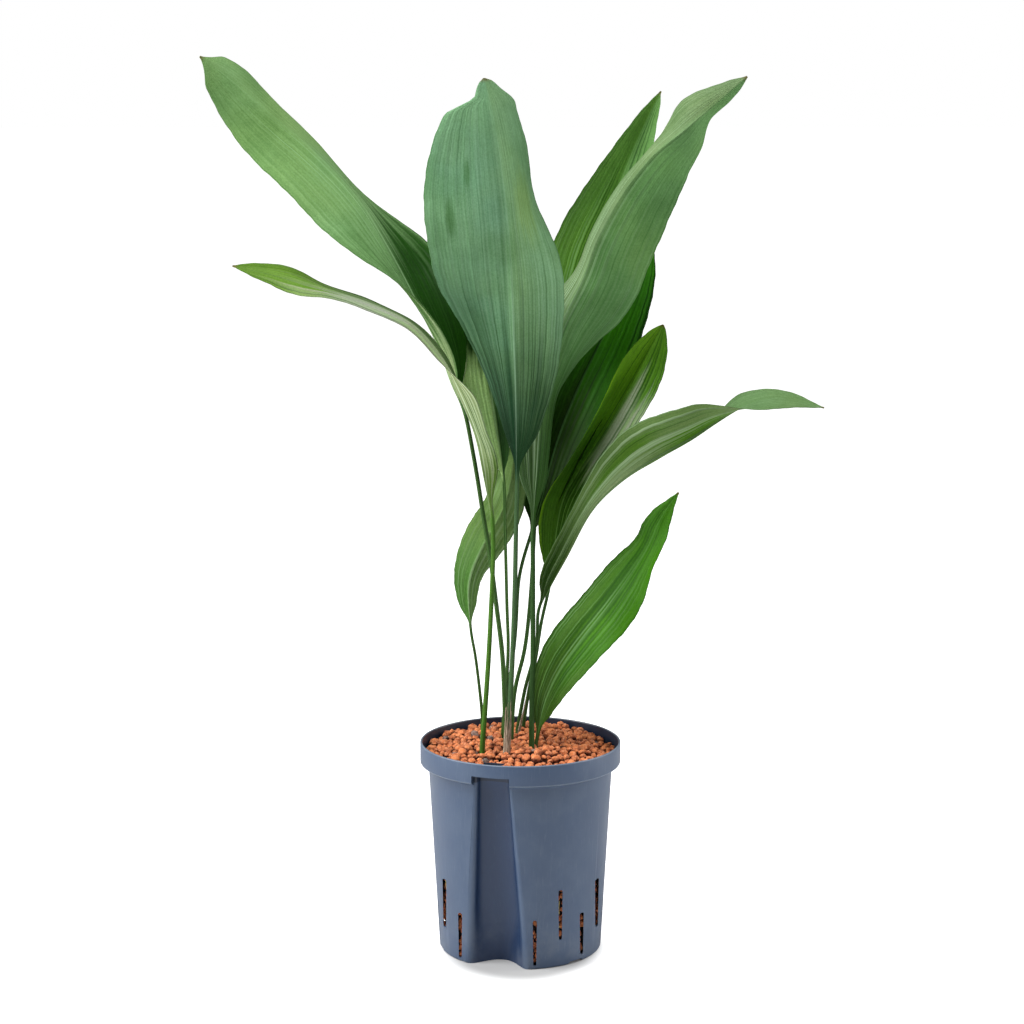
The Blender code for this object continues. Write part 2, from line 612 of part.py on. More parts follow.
def leaf_faces(rings, count):
    """Triangles that split alike on the upper and the under face, with both ends closed."""
    def at(ring, k, under):
        return ring * 2 * count + (count if under else 0) + k

    faces = []
    for ring in range(rings - 1):
        for k in range(count - 1):
            for under in (False, True):
                a, b = at(ring, k, under), at(ring, k + 1, under)
                c, d = at(ring + 1, k + 1, under), at(ring + 1, k, under)
                faces += [(a, c, b), (a, d, c)] if under else [(a, b, c), (a, c, d)]
        left, right = 0, count - 1
        faces += [(at(ring, left, False), at(ring + 1, left, False), at(ring + 1, left, True)),
                  (at(ring, left, False), at(ring + 1, left, True), at(ring, left, True)),
                  (at(ring, right, False), at(ring, right, True), at(ring + 1, right, True)),
                  (at(ring, right, False), at(ring + 1, right, True), at(ring + 1, right, False))]
    for k in range(count - 1):
        foot = [at(0, k, False), at(0, k, True), at(0, k + 1, True), at(0, k + 1, False)]
        tip = [at(rings - 1, place, under) for place, under in
               ((k, False), (k + 1, False), (k + 1, True), (k, True))]
        for corners in (foot, tip):
            faces += [tuple(corners[:3]), (corners[0], corners[2], corners[3])]
    return faces


def make_leaf(name, leaf):
    """A round stalk that opens into a folded blade, as one closed skin."""
    line, share, up_stalk = leaf_line(leaf)
    across, out = leaf_frames(line)
    path, fold = line[:, :3], line[:, 4]
    on_blade = np.clip(share, 0, 1)
    radius = leaf["radius"] * (1 - STALK_TAPER * np.minimum(up_stalk, 1)) * (1 - RIB_TAPER * on_blade)
    least = np.where(share <= 0, radius, TIP_HALF_WIDTH)
    widths = {side: np.maximum(blade_width(leaf, share, side), least) for side in (-1, 1)}
    opened = np.clip(share / OPENING, 0, 1)
    opened = (opened * opened * (3 - 2 * opened))[:, None]
    upper, under = [], []
    for k, place in enumerate(ACROSS):
        width = widths[1 if place > 0 else -1]
        reach, lift = half_arc(fold, abs(place))
        phase = 2 * math.pi * WAVES * on_blade + (place < 0) * WAVE_SHIFT
        wave = WAVE_HEIGHT * place ** 2 * np.sin(phase) * np.sin(math.pi * on_blade)
        flat = (path + across * (math.copysign(1, place) * reach * width)[:, None]
                + out * (lift * width + wave)[:, None])
        angle = math.radians(np.interp(k, (0, len(ACROSS) - 1), STALK_SPREAD))
        sideways = across * (math.cos(angle) * radius)[:, None]
        upright = out * (math.sin(angle) * radius)[:, None]
        rib = (RIB_DEPTH * radius * (place == 0))[:, None]
        half = BLADE_THICKNESS / 2
        upper.append((path + sideways + upright) * (1 - opened) + (flat + out * half) * opened)
        under.append((path + sideways - upright) * (1 - opened) + (flat - out * (half + rib)) * opened)
    points = np.concatenate([np.array(upper).transpose(1, 0, 2), np.array(under).transpose(1, 0, 2)],
                            axis=1).reshape(-1, 3) * MM
    thing = add_object(name, points, leaf_faces(len(line), len(ACROSS)), "leaf")
    shade(thing, 60)
    return thing


# Dry sheaths

def make_sheath(name, stalk_name, low, high, direction):
    """A thin open wrap round the foot of a stalk, ragged at its top."""
    leaf = LEAVES[stalk_name]
    line = leaf_line(leaf)[0][:, :3] * MM
    inner = leaf["radius"] * MM + SHEATH_CLEARANCE
    rise, speed = SHEATH_RAGGED
    rings = []
    for level in range(SHEATH_RINGS):
        share = level / (SHEATH_RINGS - 1)
        height = low + (high - low) * share
        centre = Vector((np.interp(height, line[:, 2], line[:, 0]),
                         np.interp(height, line[:, 2], line[:, 1]), 0))
        wrap = SHEATH_WRAP * (1 - SHEATH_UNWRAP * share)
        ring = []
        for radius, order in ((inner, 1), (inner + SHEATH_THICKNESS + SHEATH_FLARE * share, -1)):
            for k in list(range(SHEATH_STEPS + 1))[::order]:
                angle = math.radians(direction) + wrap * (k / SHEATH_STEPS - 0.5) + math.pi
                ragged = rise * share * math.sin(k * speed)
                ring.append(centre + Vector((radius * math.cos(angle), radius * math.sin(angle),
                                             height + ragged)))
        rings.append(ring[::-1])
    sheath = loft(name, rings, "sheath")
    shade(sheath, 60)
    return sheath


def main():
    clear_scene()
    make_pot()
    make_granules()
    make_rhizome("rhizome", 0.0, "root")
    for name, leaf in LEAVES.items():
        make_leaf(name, leaf)
    for name, (stalk_name, low, high, direction) in SHEATHS.items():
        make_sheath(name, stalk_name, low, high, direction)


main()
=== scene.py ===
"""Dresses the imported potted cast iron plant: fine leaves, loose clay granules, a moulded pot and soft light.

Metres, +Z up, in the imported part's frame. Leaf stations are in millimetres, as in the part's own source.
"""
import random
from math import atan2, copysign, cos, hypot, pi, radians, sin, sqrt

import bmesh
import bpy
import numpy as np
from mathutils import Euler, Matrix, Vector, noise


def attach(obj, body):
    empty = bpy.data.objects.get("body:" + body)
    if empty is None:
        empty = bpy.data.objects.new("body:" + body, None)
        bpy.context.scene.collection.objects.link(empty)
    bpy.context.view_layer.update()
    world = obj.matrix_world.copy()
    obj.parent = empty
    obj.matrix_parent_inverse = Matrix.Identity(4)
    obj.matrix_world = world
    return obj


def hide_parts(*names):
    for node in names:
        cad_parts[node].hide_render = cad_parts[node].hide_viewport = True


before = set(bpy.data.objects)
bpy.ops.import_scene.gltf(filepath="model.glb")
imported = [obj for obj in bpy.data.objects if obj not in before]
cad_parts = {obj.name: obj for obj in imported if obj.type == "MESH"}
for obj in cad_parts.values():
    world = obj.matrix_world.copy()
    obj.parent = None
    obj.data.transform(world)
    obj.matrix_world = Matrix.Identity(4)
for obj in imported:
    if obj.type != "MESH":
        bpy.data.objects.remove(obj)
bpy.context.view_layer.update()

MM = 0.001

# Pot, the 18/19 culture pot
POT_HEIGHT = 0.190
RIM_RADIUS = 0.090
BODY_TOP_RADIUS = 0.0825
BASE_RADIUS = 0.0730
BAND_HEIGHT = 0.020
BAND = POT_HEIGHT - BAND_HEIGHT
WALL = 0.0020
POT_SIDES = 180
CHANNEL_ANGLE = radians(-17.5)    # from the front, towards -X
CHANNEL_HALF_WIDTH = (0.0226, 0.0141)  # at the base, under the band
CHANNEL_DEPTH = (0.0250, 0.0105)
CHANNEL_WALL_TOP = 0.1870
CHANNEL_BEVEL = (0.0062, 0.0026)
CHANNEL_ROUNDNESS = (0.96, 0.62)       # 1 is a half ellipse in plan, less is squarer
CHANNEL_FOOT = 0.048                   # up to here its sides swing out in a wave
CHANNEL_FOOT_WAVE = 0.85
MOUTH_LIFT = 0.00004                   # keeps the first point of a mouth edge clear of the wall
BRIDGE_HEIGHT = 0.0115
FIRST_SLOT = radians(27)
SLOT_PITCH = radians(18)
SLOTS_A_SIDE = 9
LOW_SLOT = (0.0030, 0.0460)
HIGH_SLOT = (0.0250, 0.0720)
SLOT_WIDTH = (0.0026, 0.0036)
SLOT_RADII = (0.063, 0.090)
SLIDE_LIMIT = 0.25
ARCHES = 5
ARCH_PITCH = 2 * pi / (ARCHES + 1)
ARCH_HEIGHT = 0.0026
ARCH_WIDTH = (0.020, 0.014)
ARCH_RADII = (0.067, 0.083)
BESIDE_ARCH = radians(13)
SLOT_OVER_ARCH = 0.0060
DRAIN_SLOTS = 8
DRAIN_PITCH = 2 * pi / (DRAIN_SLOTS + 1)
DRAIN_RADII = (0.026, 0.044)
DRAIN_WIDTH = 0.0030
POT_BLUE = ((0.049, 0.081, 0.147), (0.064, 0.098, 0.163))
POT_SHEEN = (0.13, 0.17, 0.23)
POT_RECESS_SHADE = (0.31, 0.43, 0.60)        # painted shade, multiplied in where the wall lies behind the pot's outline
# Painted shade for the inside face of the band
POT_INSIDE_SHADE = (0.013, 0.023, 0.048)
# Painted highlight for the lip and the band's lower corner
POT_EDGE_HIGHLIGHT = (0.24, 0.29, 0.35)
POT_DUST = (0.15, 0.17, 0.20)

# Studio: each light's name, place, aim, size and power
CAMERA_PLACE = (-0.0075, -2.3, 0.791)
CAMERA_TILT = radians(80.31)
CAMERA_LENS = 92.6
LIGHTS = (("left", (-1.9, -0.35, 1.3), (0, 0, 0.40), (1.0, 1.9), 54),
          ("right", (1.9, 0.2, 0.8), (0, 0, 0.35), (1.0, 1.9), 30),
          ("top", (-0.4, -0.9, 2.4), (0, 0, 0.35), (1.3, 1.3), 46))
DAYLIGHT = 0.15
FLOOR_HALF = 30
FLOOR_GLOW = (0.066, 0.110, 0.05, 1.0)  # from and to these distances, and how bright at each; dimmer by the pot as painted contact shadow
FLOOR_SHADE = (0.062, 0.102)
FLOOR_OVAL = ((1.2, 1.0, 1.0), (0.0, 0.020, 0.0))
PAPER_SHADOW_GREYS = ((0.38, 0.38, 0.38), (0.80, 0.80, 0.80))  # painted contact shadow, and beyond it

# Granules
SURFACE = 0.1825
GRANULE_SIZES = (0.0022, 0.0046)       # radii
GRANULE_SHAPES = 14
HEAP = (0.0058, 0.0050)                # above the mean level in the middle, below it by the wall
HEAP_SWELL = 0.0028
BACK_RISE = 0.055                      # how steeply the granules rise towards the back of the pot
TOP_BED = (9000, 0.0005, 0.88)         # tries, depth, and the spacing as a share of two touching radii
BELOW_BED = (5000, 0.0050, 0.86)
SLOT_BED = (800, 0.84)
SLOT_CLEARANCE = (0.0003, 0.0026)      # from the wall
GREY_SHARE = 0.022
WEDGED_GRANULES = ((-0.0118, 0.0832, 0.1862, 0.0032), (-0.0124, 0.0765, 0.1868, 0.0030),
                   (0.0118, 0.0832, 0.1862, 0.0032), (0.0124, 0.0765, 0.1868, 0.0030))
CLAYS = {                              # colour, shadow and light crust, and how dark the painted shade on the undersides is
    "clay_terracotta": ((0.80, 0.240, 0.076), (0.42, 0.096, 0.028), (0.93, 0.48, 0.27), 0.95),
    "clay_damp": ((0.80, 0.24, 0.080), (0.40, 0.090, 0.028), (0.90, 0.46, 0.26), 0.0),
    "clay_grey": ((0.30, 0.19, 0.15), (0.10, 0.07, 0.06), (0.46, 0.34, 0.29), 0.95),
    # The deep clay is painted shade: dark granules that show as shadow in the gaps of the top bed.
    "clay_deep_shade": ((0.11, 0.032, 0.014), (0.04, 0.013, 0.006), (0.18, 0.07, 0.035), 0.95)}
# Painted shade, multiplied into the undersides of granules
UNDERSIDE_SHADE = (0.20, 0.13, 0.11)

# Roots and sheaths
ROOTLET_RADIUS = 0.00045
SHEATH_FOOT = 0.180
SHEATH_GAP = 0.0004                    # between a stalk and its sheath
SHEATH_THICKNESS = 0.0005
SHEATH_LEVELS = 26
SHEATH_STEPS = 40
SHEATH_NOTCHES = 12

# Leaves: half_width, widest and radius as in the part; a stalk of points, and a blade of stations
# (x, y, z, turn, fold), as there but for a few tips and feet. Turn 0 shows the upper face to the front,
# 180 the under face. A low rise makes a blade widen sooner, foot is its half width where it leaves the stalk,
# and shoulders (start, end, share kept) narrow its right half, 1, and its left half, -1, before the tip.
FOOT_HEIGHT = 0.158
LEAVES = {
    "leaf_big_left": {
        "shoulders": {1: (0.945, 1.0, 0.45), -1: (0.945, 1.0, 0.40)},
        "half_width": 48, "widest": 0.55, "radius": 2.3, "rise": 0.8,
        "stalk": [(-13, -14, 190), (-14, -12, 227), (-16, -9, 271), (-21, -6, 312), (-27, -2, 360),
            (-33, 0, 395), (-38, 3, 428), (-44, 5, 462)],
        "blade": [(-49, 6, 487, -52, 60), (-60, 8, 512, -52, 68), (-72, 12, 545, -52, 62),
            (-93, 17, 586, -52, 42), (-118, 22, 633, -59, 0), (-144, 26, 674, -61, -24),
            (-181, 26, 714, -55, -30), (-221, 20, 749, -43, -33), (-254, 10, 778, -30, -24),
            (-276, 0, 796, -28, -20)]},
    "leaf_thin_left": {
        "half_width": 30, "widest": 0.52, "radius": 2.4,
        "stalk": [(-34, -28, 190), (-31, -28, 230), (-28, -28, 275), (-26, -28, 315), (-24, -28, 365)],
        "blade": [(-25, -29, 401, -135, 45), (-31, -31, 436, -130, 44), (-38, -36, 472, -104, 19),
            (-52, -42, 508, -102, 14), (-67, -51, 541, -91, 0), (-92, -60, 571, -88, -2),
            (-126, -66, 589, -84, -6), (-166, -70, 603, -84, -8), (-199, -74, 615, -52, -17),
            (-243, -78, 622, -45, -8)]},
    "leaf_centre": {
        "shoulders": {1: (0.936, 0.962, 0.36), -1: (0.930, 0.985, 0.60)},
        "half_width": 70, "widest": 0.63, "radius": 2.4,
        "stalk": [(-12, -32, 190), (-10, -31, 218), (-7, -30, 275), (-5, -29, 334), (-4, -28, 387)],
        "blade": [(-3, -28, 433, 195, 50), (-4, -32, 502, 192, 43), (-6, -40, 555, 180, 38),
            (-8, -50, 604, 163, 31), (-12, -60, 659, 147, 34), (-18, -68, 710, 147, 34),
            (-24, -72, 747, 147, 30), (-31, -70, 778, 155, 15)]},
    "leaf_lower_left": {
        "half_width": 23, "widest": 0.45, "radius": 1.6, "rise": 0.7,
        "stalk": [(-35, 46, 190), (-35, 40, 206), (-38, 37, 237), (-41, 33, 262)],
        "blade": [(-45, 30, 288, 175, 50), (-46, 28, 330, 172, 48), (-32, 30, 365, 178, 32),
            (-16, 32, 394, 180, 25), (-8, 34, 424, 180, 20), (-4, 36, 459, 180, 10)]},
    "leaf_behind_centre": {
        "half_width": 28, "widest": 0.50, "radius": 1.7, "rise": 0.7,
        "stalk": [(-16, 24, 190), (-11, 22, 264), (-12, 22, 306), (-13, 24, 350), (-14, 25, 388)],
        "blade": [(-15, 27, 424, 10, 50), (-24, 32, 485, 10, 40), (-29, 36, 521, 10, 30),
            (-29, 42, 565, 10, 20), (-24, 46, 616, 10, 10)]},
    "leaf_lower_right": {
        "half_width": 28, "widest": 0.48, "radius": 2.0, "foot": 5.0,
        "stalk": [(14, -14, 190)],
        "blade": [(15, -14, 196, 20, 30), (21, -15, 227, 24, 20), (34, -18, 257, 30, 16),
            (54, -22, 287, 36, 6), (75, -26, 315, 36, 0), (94, -30, 343, 42, 0), (111, -36, 372, 54, 4),
            (121, -40, 398, 26, 4), (137, -44, 423, 25, 0)]},
    "leaf_big_right": {
        "half_width": 54, "widest": 0.47, "radius": 2.5, "rise": 0.8,
        "stalk": [(10, -25, 190), (10, -23, 229), (11, -20, 273), (11, -16, 327), (11, -12, 356)],
        "blade": [(11, -9, 388, 180, 45), (14, -4, 436, 172, 58), (18, 2, 494, 170, 62),
            (25, 6, 528, 176, 57), (36, 8, 564, 192, 52), (55, 8, 603, 213, 50), (69, 6, 640, 217, 48),
            (91, 4, 680, 218, 46), (116, 0, 712, 218, 45), (138, -3, 730, 194, 46), (159, -8, 749, 157, 43),
            (194, -14, 779, 172, 20)]},
    "leaf_upper_right": {
        "half_width": 38, "widest": 0.50, "radius": 2.0,
        "stalk": [(-8, 10, 190), (-5, 18, 232), (4, 24, 268), (9, 34, 312), (12, 52, 355)],
        "blade": [(15, 70, 394, 0, 45), (24, 84, 433, 0, 45), (37, 98, 495, 0, 42), (49, 108, 558, 5, 35),
            (64, 114, 617, 12, 25), (83, 118, 663, 10, 27), (101, 122, 708, 0, 32), (116, 124, 741, 0, 32),
            (128, 126, 765, 0, 20)]},
    "leaf_dark_right": {
        "half_width": 37, "widest": 0.52, "radius": 1.9, "rise": 0.75,
        "stalk": [(-15, 46, 190), (-5, 50, 271), (-2, 52, 321), (2, 53, 343)],
        "blade": [(9, 56, 366, 10, 28), (19, 59, 398, 10, 32), (32, 62, 448, 10, 30), (50, 66, 495, 10, 22),
            (69, 72, 534, 10, 15), (85, 78, 566, 10, 12), (101, 84, 597, 5, 14), (117, 90, 632, 0, 10)]},
    "leaf_mid_right": {
        "half_width": 36, "widest": 0.55, "radius": 1.8,
        "stalk": [(3, 50, 190), (8, 44, 226), (14, 42, 255), (19, 41, 289)],
        "blade": [(26, 41, 321, 0, 45), (30, 44, 348, 5, 42), (33, 47, 375, 5, 44), (39, 49, 402, 0, 53),
            (54, 51, 430, -3, 61), (75, 51, 463, -3, 59), (94, 48, 496, -2, 52), (112, 43, 530, -2, 32),
            (127, 36, 561, 0, 15)]},
    "leaf_arching_right": {
        "half_width": 39, "widest": 0.50, "radius": 1.9, "rise": 1.1,
        "stalk": [(-3, 24, 190), (4, 22, 231), (10, 17, 255), (15, 10, 280)],
        "blade": [(16, 2, 309, 130, 40), (25, -8, 332, 124, 36), (40, -15, 361, 114, 24),
            (62, -19, 403, 107, 17), (89, -20, 430, 116, 26), (119, -21, 449, 130, 40),
            (148, -24, 466, 125, 35), (172, -27, 483, 113, 24), (195, -30, 497, 80, 12),
            (225, -33, 504, 63, -2), (263, -36, 496, 52, 0)]},
}
BLADE_THICKNESS = 0.6
STALK_TAPER = 0.2
RIB_TAPER = 0.85
RIB_DEPTH = 1.1
RIB_WIDTH = 1.6                        # millimetres, of the bell-shaped midrib
GROOVE = 0.45                          # depth of the stalk's groove and of the midrib's furrow, in radii
RIB_FURROW = 0.35
OPENING = 0.10
TIP_HALF_WIDTH = 0.8
BLADE_RISE = 0.9
MARGIN_CURL = (0.6, 1.4)
MARGIN_THINNING = 0.55
STALK_SPREAD = (178, 2)
WAVE_HEIGHT = 1.6
WAVES = 3.0
WAVE_SHIFT = 1.7
PLEATS = 7                             # folds along each half blade
PLEAT_HEIGHTS = (0.42, 0.16)           # near the foot, and beyond the middle
PLEAT_FADE = (0.20, 0.60)
SWELL = 0.9
EDGE_WAVER = 0.24
FOOT_SHARE = 0.30                      # up to here a blade keeps some of its foot's width
STALK_RINGS = 60
RING_STEP = 2.6                        # millimetres along a leaf
ACROSS_STEP = 0.62                     # millimetres across a blade, at its widest
SPAN_POINTS = 24
ARC_STEPS = 8

# Tints multiplied into a blade, and the colours of its pale lines and its tip
BLOTCH = (0.60, 0.68, 0.54)
WARMTH = (1.25, 1.08, 0.60)
# Painted shade for the dark furrow lines in the pleats' valleys
FURROW = (0.30, 0.42, 0.28)
CORD = (0.52, 0.60, 0.50)
VEIN = (1.50, 1.32, 1.55)
WEAVE = (0.62, 0.68, 0.58)
MARGIN = (0.48, 0.56, 0.42)
PALE_UPPER = (1.5, 0.11)               # pale lines: the blade's colour times this, plus this
PALE_UNDER = (1.3, 0.19)
TIP_BROWN = (0.13, 0.09, 0.03)
MIDRIB = (0.44, 0.56)                  # the left half gives way to the right half between these


def both(value):
    """The same value for the left and the right half, unless it is a pair already."""
    return value if isinstance(value[0], tuple) else (value, value)


def face(colour, foot, fade=(0.0, 0.3), lines=(0.3, 0.3), furrow_shade=(0.5, 0.2), pale_patch=None):
    """The look of a leaf's face. Left is the side that is left when the upper face is towards one.

    The colours of the blade and its foot, and the shares of the blade between which they give way, are the
    same on both halves or given for each; they are partly the leaf's own greens and partly painted light and
    shade, a darker foot or half standing for shade and a paler one for light. Lines says how strong the pale
    lines are on the left and the right half, and may add how far they reach from the midrib. Furrow shade says
    how strong the painted shade in the furrows is, low down and further up. A pale patch on the right half has
    its tint and the shares between which it ends.
    """
    return {"colour": both(colour), "foot": both(foot), "fade": both(fade), "lines": lines,
            "furrow_shade": furrow_shade, "pale_patch": pale_patch}


# Each leaf's upper face, under face and stalk colour; the faces' halves and feet partly paint light and shade
LOOKS = {
    "leaf_big_left": (
        face(((0.160, 0.325, 0.115), (0.160, 0.305, 0.115)), ((0.11, 0.24, 0.075), (0.009, 0.060, 0.001)),
             ((0.20, 0.45), (0.36, 0.60)), (1.0, 0.5, 0.24), (0.3, 0.0)),
        face(((0.045, 0.13, 0.014), (0.13, 0.24, 0.07)), (0.22, 0.32, 0.15), ((0.10, 0.22), (0.0, 0.3)),
             (0.6, 0.6), (0.6, 0.2)),
        (0.035, 0.09, 0.015)),
    "leaf_thin_left": (
        face(((0.11, 0.24, 0.026), (0.10, 0.22, 0.022)), ((0.29, 0.33, 0.25), (0.11, 0.18, 0.07)),
             ((0.68, 0.88), (0.66, 0.86)), (1.0, 1.0), (0.7, 0.7)),
        face((0.25, 0.34, 0.16), (0.09, 0.19, 0.025), (0.04, 0.20), (1.0, 1.0), (0.8, 0.4)),
        (0.05, 0.135, 0.012)),
    "leaf_centre": (
        face((0.06, 0.20, 0.04), (0.04, 0.13, 0.02), lines=(0.2, 0.2), furrow_shade=(0.5, 0.1)),
        face(((0.142, 0.292, 0.140), (0.146, 0.318, 0.180)), ((0.012, 0.052, 0.015), (0.018, 0.072, 0.030)),
             ((0.06, 0.50), (0.06, 0.54)), (0.15, 0.12), (1.0, 0.30)),
        (0.045, 0.10, 0.035)),
    "leaf_lower_left": (
        face((0.06, 0.20, 0.03), (0.04, 0.13, 0.02)),
        face(((0.17, 0.29, 0.10), (0.135, 0.25, 0.07)), ((0.110, 0.225, 0.050), (0.060, 0.17, 0.025)),
             ((0.2, 0.8), (0.1, 0.7)), (0.45, 0.4), (0.4, 0.3)),
        (0.035, 0.09, 0.015)),
    "leaf_behind_centre": (
        face(((0.010, 0.055, 0.002), (0.03, 0.10, 0.015)), ((0.44, 0.70, 0.25), (0.008, 0.04, 0.004)),
             ((0.46, 0.62), (0.2, 0.45)), (0.2, 0.2), (0.2, 0.1)),
        face((0.11, 0.26, 0.08), (0.04, 0.12, 0.02)),
        (0.035, 0.09, 0.015)),
    "leaf_lower_right": (
        face(((0.036, 0.145, 0.004), (0.032, 0.140, 0.000)), ((0.055, 0.125, 0.018), (0.046, 0.118, 0.010)),
             ((0.05, 0.60), (0.05, 0.40)), (0.8, 0.15), (0.5, 0.5)),
        face((0.09, 0.24, 0.05), (0.04, 0.11, 0.02), (0.0, 0.2)),
        (0.025, 0.06, 0.008)),
    "leaf_big_right": (
        face((0.10, 0.28, 0.06), (0.04, 0.12, 0.02)),
        face(((0.115, 0.265, 0.085), (0.150, 0.245, 0.105)), ((0.035, 0.105, 0.016), (0.016, 0.050, 0.006)),
             ((0.02, 0.50), (0.12, 0.36)), (0.15, 1.0), (0.6, 0.3)),
        (0.025, 0.07, 0.014)),
    "leaf_upper_right": (
        face(((0.115, 0.29, 0.040), (0.115, 0.27, 0.065)), ((0.06, 0.19, 0.012), (0.05, 0.15, 0.015)),
             (0.1, 0.4), (0.5, 0.4), (0.9, 0.9)),
        face((0.10, 0.24, 0.08), (0.04, 0.12, 0.02)),
        (0.03, 0.08, 0.014)),
    "leaf_dark_right": (
        face(((0.026, 0.165, 0.000), (0.030, 0.19, 0.000)), ((0.016, 0.056, 0.001), (0.015, 0.056, 0.001)),
             (0.28, 0.72), (0.15, 0.15), (0.9, 0.9)),
        face((0.05, 0.14, 0.03), (0.03, 0.10, 0.02)),
        (0.025, 0.07, 0.012)),
    "leaf_mid_right": (
        face(((0.125, 0.31, 0.010), (0.078, 0.22, 0.008)), ((0.060, 0.170, 0.010), (0.026, 0.094, 0.002)),
             ((0.42, 0.66), (0.44, 0.56)), (0.1, 1.0), (0.9, 0.9), ((0.38, 0.46, 0.30), 0.66, 0.84)),
        face((0.10, 0.22, 0.06), (0.05, 0.12, 0.03)),
        (0.03, 0.08, 0.015)),
    "leaf_arching_right": (
        face(((0.135, 0.255, 0.095), (0.135, 0.255, 0.10)), (0.11, 0.22, 0.07), furrow_shade=(0.4, 0.1)),
        face(((0.055, 0.165, 0.004), (0.125, 0.225, 0.060)), ((0.150, 0.245, 0.075), (0.018, 0.062, 0.002)),
             ((0.50, 0.72), (0.06, 0.50)), (1.0, 1.0), (0.8, 0.8)),
        (0.03, 0.08, 0.015)),
}

# Soft marks of painted light and shade on some faces, darker ones painted shade and paler ones painted
# highlight and sheen: their place across and along, how far they reach each way, and a tint.
PAINTED_LIGHT_MARKS = {
    "leaf_centre_under": [(0.845, 0.667, 0.034, 0.066, (0.50, 0.60, 0.44)),
                          (0.725, 0.780, 0.030, 0.044, (0.60, 0.70, 0.54)),
                          (0.255, 0.680, 0.160, 0.110, (1.13, 1.03, 0.80))],
    "leaf_mid_right_upper": [(0.0, 0.36, 0.105, 0.46, (3.0, 2.2, 1.2))],
    "leaf_arching_right_under": [(0.56, 0.32, 0.120, 0.24, (2.0, 1.6, 2.6)),
                                 (0.78, 0.46, 0.120, 0.14, (0.62, 0.85, 0.25)),
                                 (0.60, 0.66, 0.140, 0.13, (0.55, 0.85, 0.12))],
    "leaf_lower_right_upper": [(0.15, 0.56, 0.170, 0.26, (1.9, 1.4, 4.0)),
                               (0.62, 0.46, 0.140, 0.16, (1.35, 1.25, 0.9))],
}


def linked(name, data):
    """A new object that is in the scene."""
    thing = bpy.data.objects.new(name, data)
    bpy.context.scene.collection.objects.link(thing)
    return thing


def finish_piece(name, points, faces, materials, smooth=60):
    mesh = bpy.data.meshes.new(name)
    mesh.from_pydata([tuple(point) for point in points], [], faces)
    mesh.validate()
    for material in materials:
        mesh.materials.append(material)
    thing = linked(name, mesh)
    mesh.shade_smooth()
    mesh.set_sharp_from_angle(angle=radians(smooth))
    return thing


def dress(thing, material):
    thing.data.materials.clear()
    thing.data.materials.append(material)


def between(pair, share):
    """A value so far on the way from the pair's first to its second."""
    return pair[0] + (pair[1] - pair[0]) * share


# Materials

class Nodes:
    """Short names for making and joining shader nodes."""

    def __init__(self, name):
        self.material = bpy.data.materials.new(name)
        self.material.use_nodes = True
        self.tree = self.material.node_tree
        self.shader = self.tree.nodes["Principled BSDF"]

    def add(self, kind, values=None, **settings):
        node = self.tree.nodes.new("ShaderNode" + kind)
        for key, value in settings.items():
            setattr(node, key, value)
        for key, value in (values or {}).items():
            self.put(node.inputs[key], value)
        return node

    def put(self, socket, value):
        if isinstance(value, bpy.types.NodeSocket):
            self.tree.links.new(value, socket)
        else:
            socket.default_value = value

    def math(self, operation, *values):
        return self.add("Math", dict(enumerate(values)), operation=operation).outputs[0]

    def times(self, first, second):
        return self.math("MULTIPLY", first, second)

    def plus(self, first, second):
        return self.math("ADD", first, second)

    def minus(self, first, second):
        return self.math("SUBTRACT", first, second)

    def ramp(self, value, low, high, start=0.0, end=1.0):
        """Value mapped from low..high to start..end, with soft shoulders."""
        node = self.add("MapRange", {0: value, 1: low, 2: high, 3: start, 4: end},
                        interpolation_type="SMOOTHSTEP")
        return node.outputs[0]

    def mix(self, share, first, second, blend="MIX"):
        node = self.add("Mix", data_type="RGBA", blend_type=blend)
        self.put(node.inputs["Factor"], share)
        for key, colour in ((6, first), (7, second)):
            self.put(node.inputs[key], colour if isinstance(colour, bpy.types.NodeSocket)
                     else (*colour[:3], 1))
        return node.outputs[2]

    def vector(self, x, y, z):
        return self.add("CombineXYZ", {0: x, 1: y, 2: z}).outputs[0]

    def length(self, vector):
        return self.add("VectorMath", {0: vector}, operation="LENGTH").outputs["Value"]

    def mapped(self, vector, scale, shift=(0.0, 0.0, 0.0)):
        return self.add("Mapping", {"Vector": vector, "Scale": scale, "Location": shift}).outputs[0]

    def noise(self, vector, scale, detail=3.0, roughness=0.5):
        node = self.add("TexNoise", {"Vector": vector, "Scale": scale, "Detail": detail,
                                               "Roughness": roughness})
        return node.outputs["Fac"]

    def object_coords(self):
        return self.add("TexCoord").outputs["Object"]

    def bump(self, height, strength, distance, normal=None):
        node = self.add("Bump", {"Height": height, "Strength": strength, "Distance": distance})
        if normal is not None:
            self.put(node.inputs["Normal"], normal)
        return node.outputs["Normal"]

    def shade(self, **inputs):
        for key, value in inputs.items():
            self.put(self.shader.inputs[key.replace("_", " ")], value)
        return self.material


class LeafNodes(Nodes):
    """Nodes for a leaf's face, which know the ways across it, along it and out from its midrib."""

    def __init__(self, name, half_width):
        super().__init__(name)
        self.place = self.object_coords()
        coords = self.add("UVMap", uv_map="leaf").outputs[0]
        self.across, self.along, _ = self.add("SeparateXYZ", {0: coords}).outputs
        self.outward = self.math("ABSOLUTE", self.minus(self.across, 0.5))
        self.half_width = half_width
        self.seed = sum(map(ord, name)) * 0.37

    def streaks(self, pitch, stretch, detail=2.0):
        """Noise drawn out along the veins, a pitch of so many millimetres apart."""
        vector = self.vector(self.times(self.across, 2 * self.half_width / pitch),
                             self.times(self.along, stretch), self.seed)
        return self.noise(vector, 1.0, detail, 0.6)

    def halves(self, left, right):
        """One value on the left half and another on the right, softly joined at the midrib."""
        return self.ramp(self.across, *MIDRIB, left, right)


def scaled(colour, factor, shift=0.0):
    return [min(1, part * factor + shift) for part in colour]


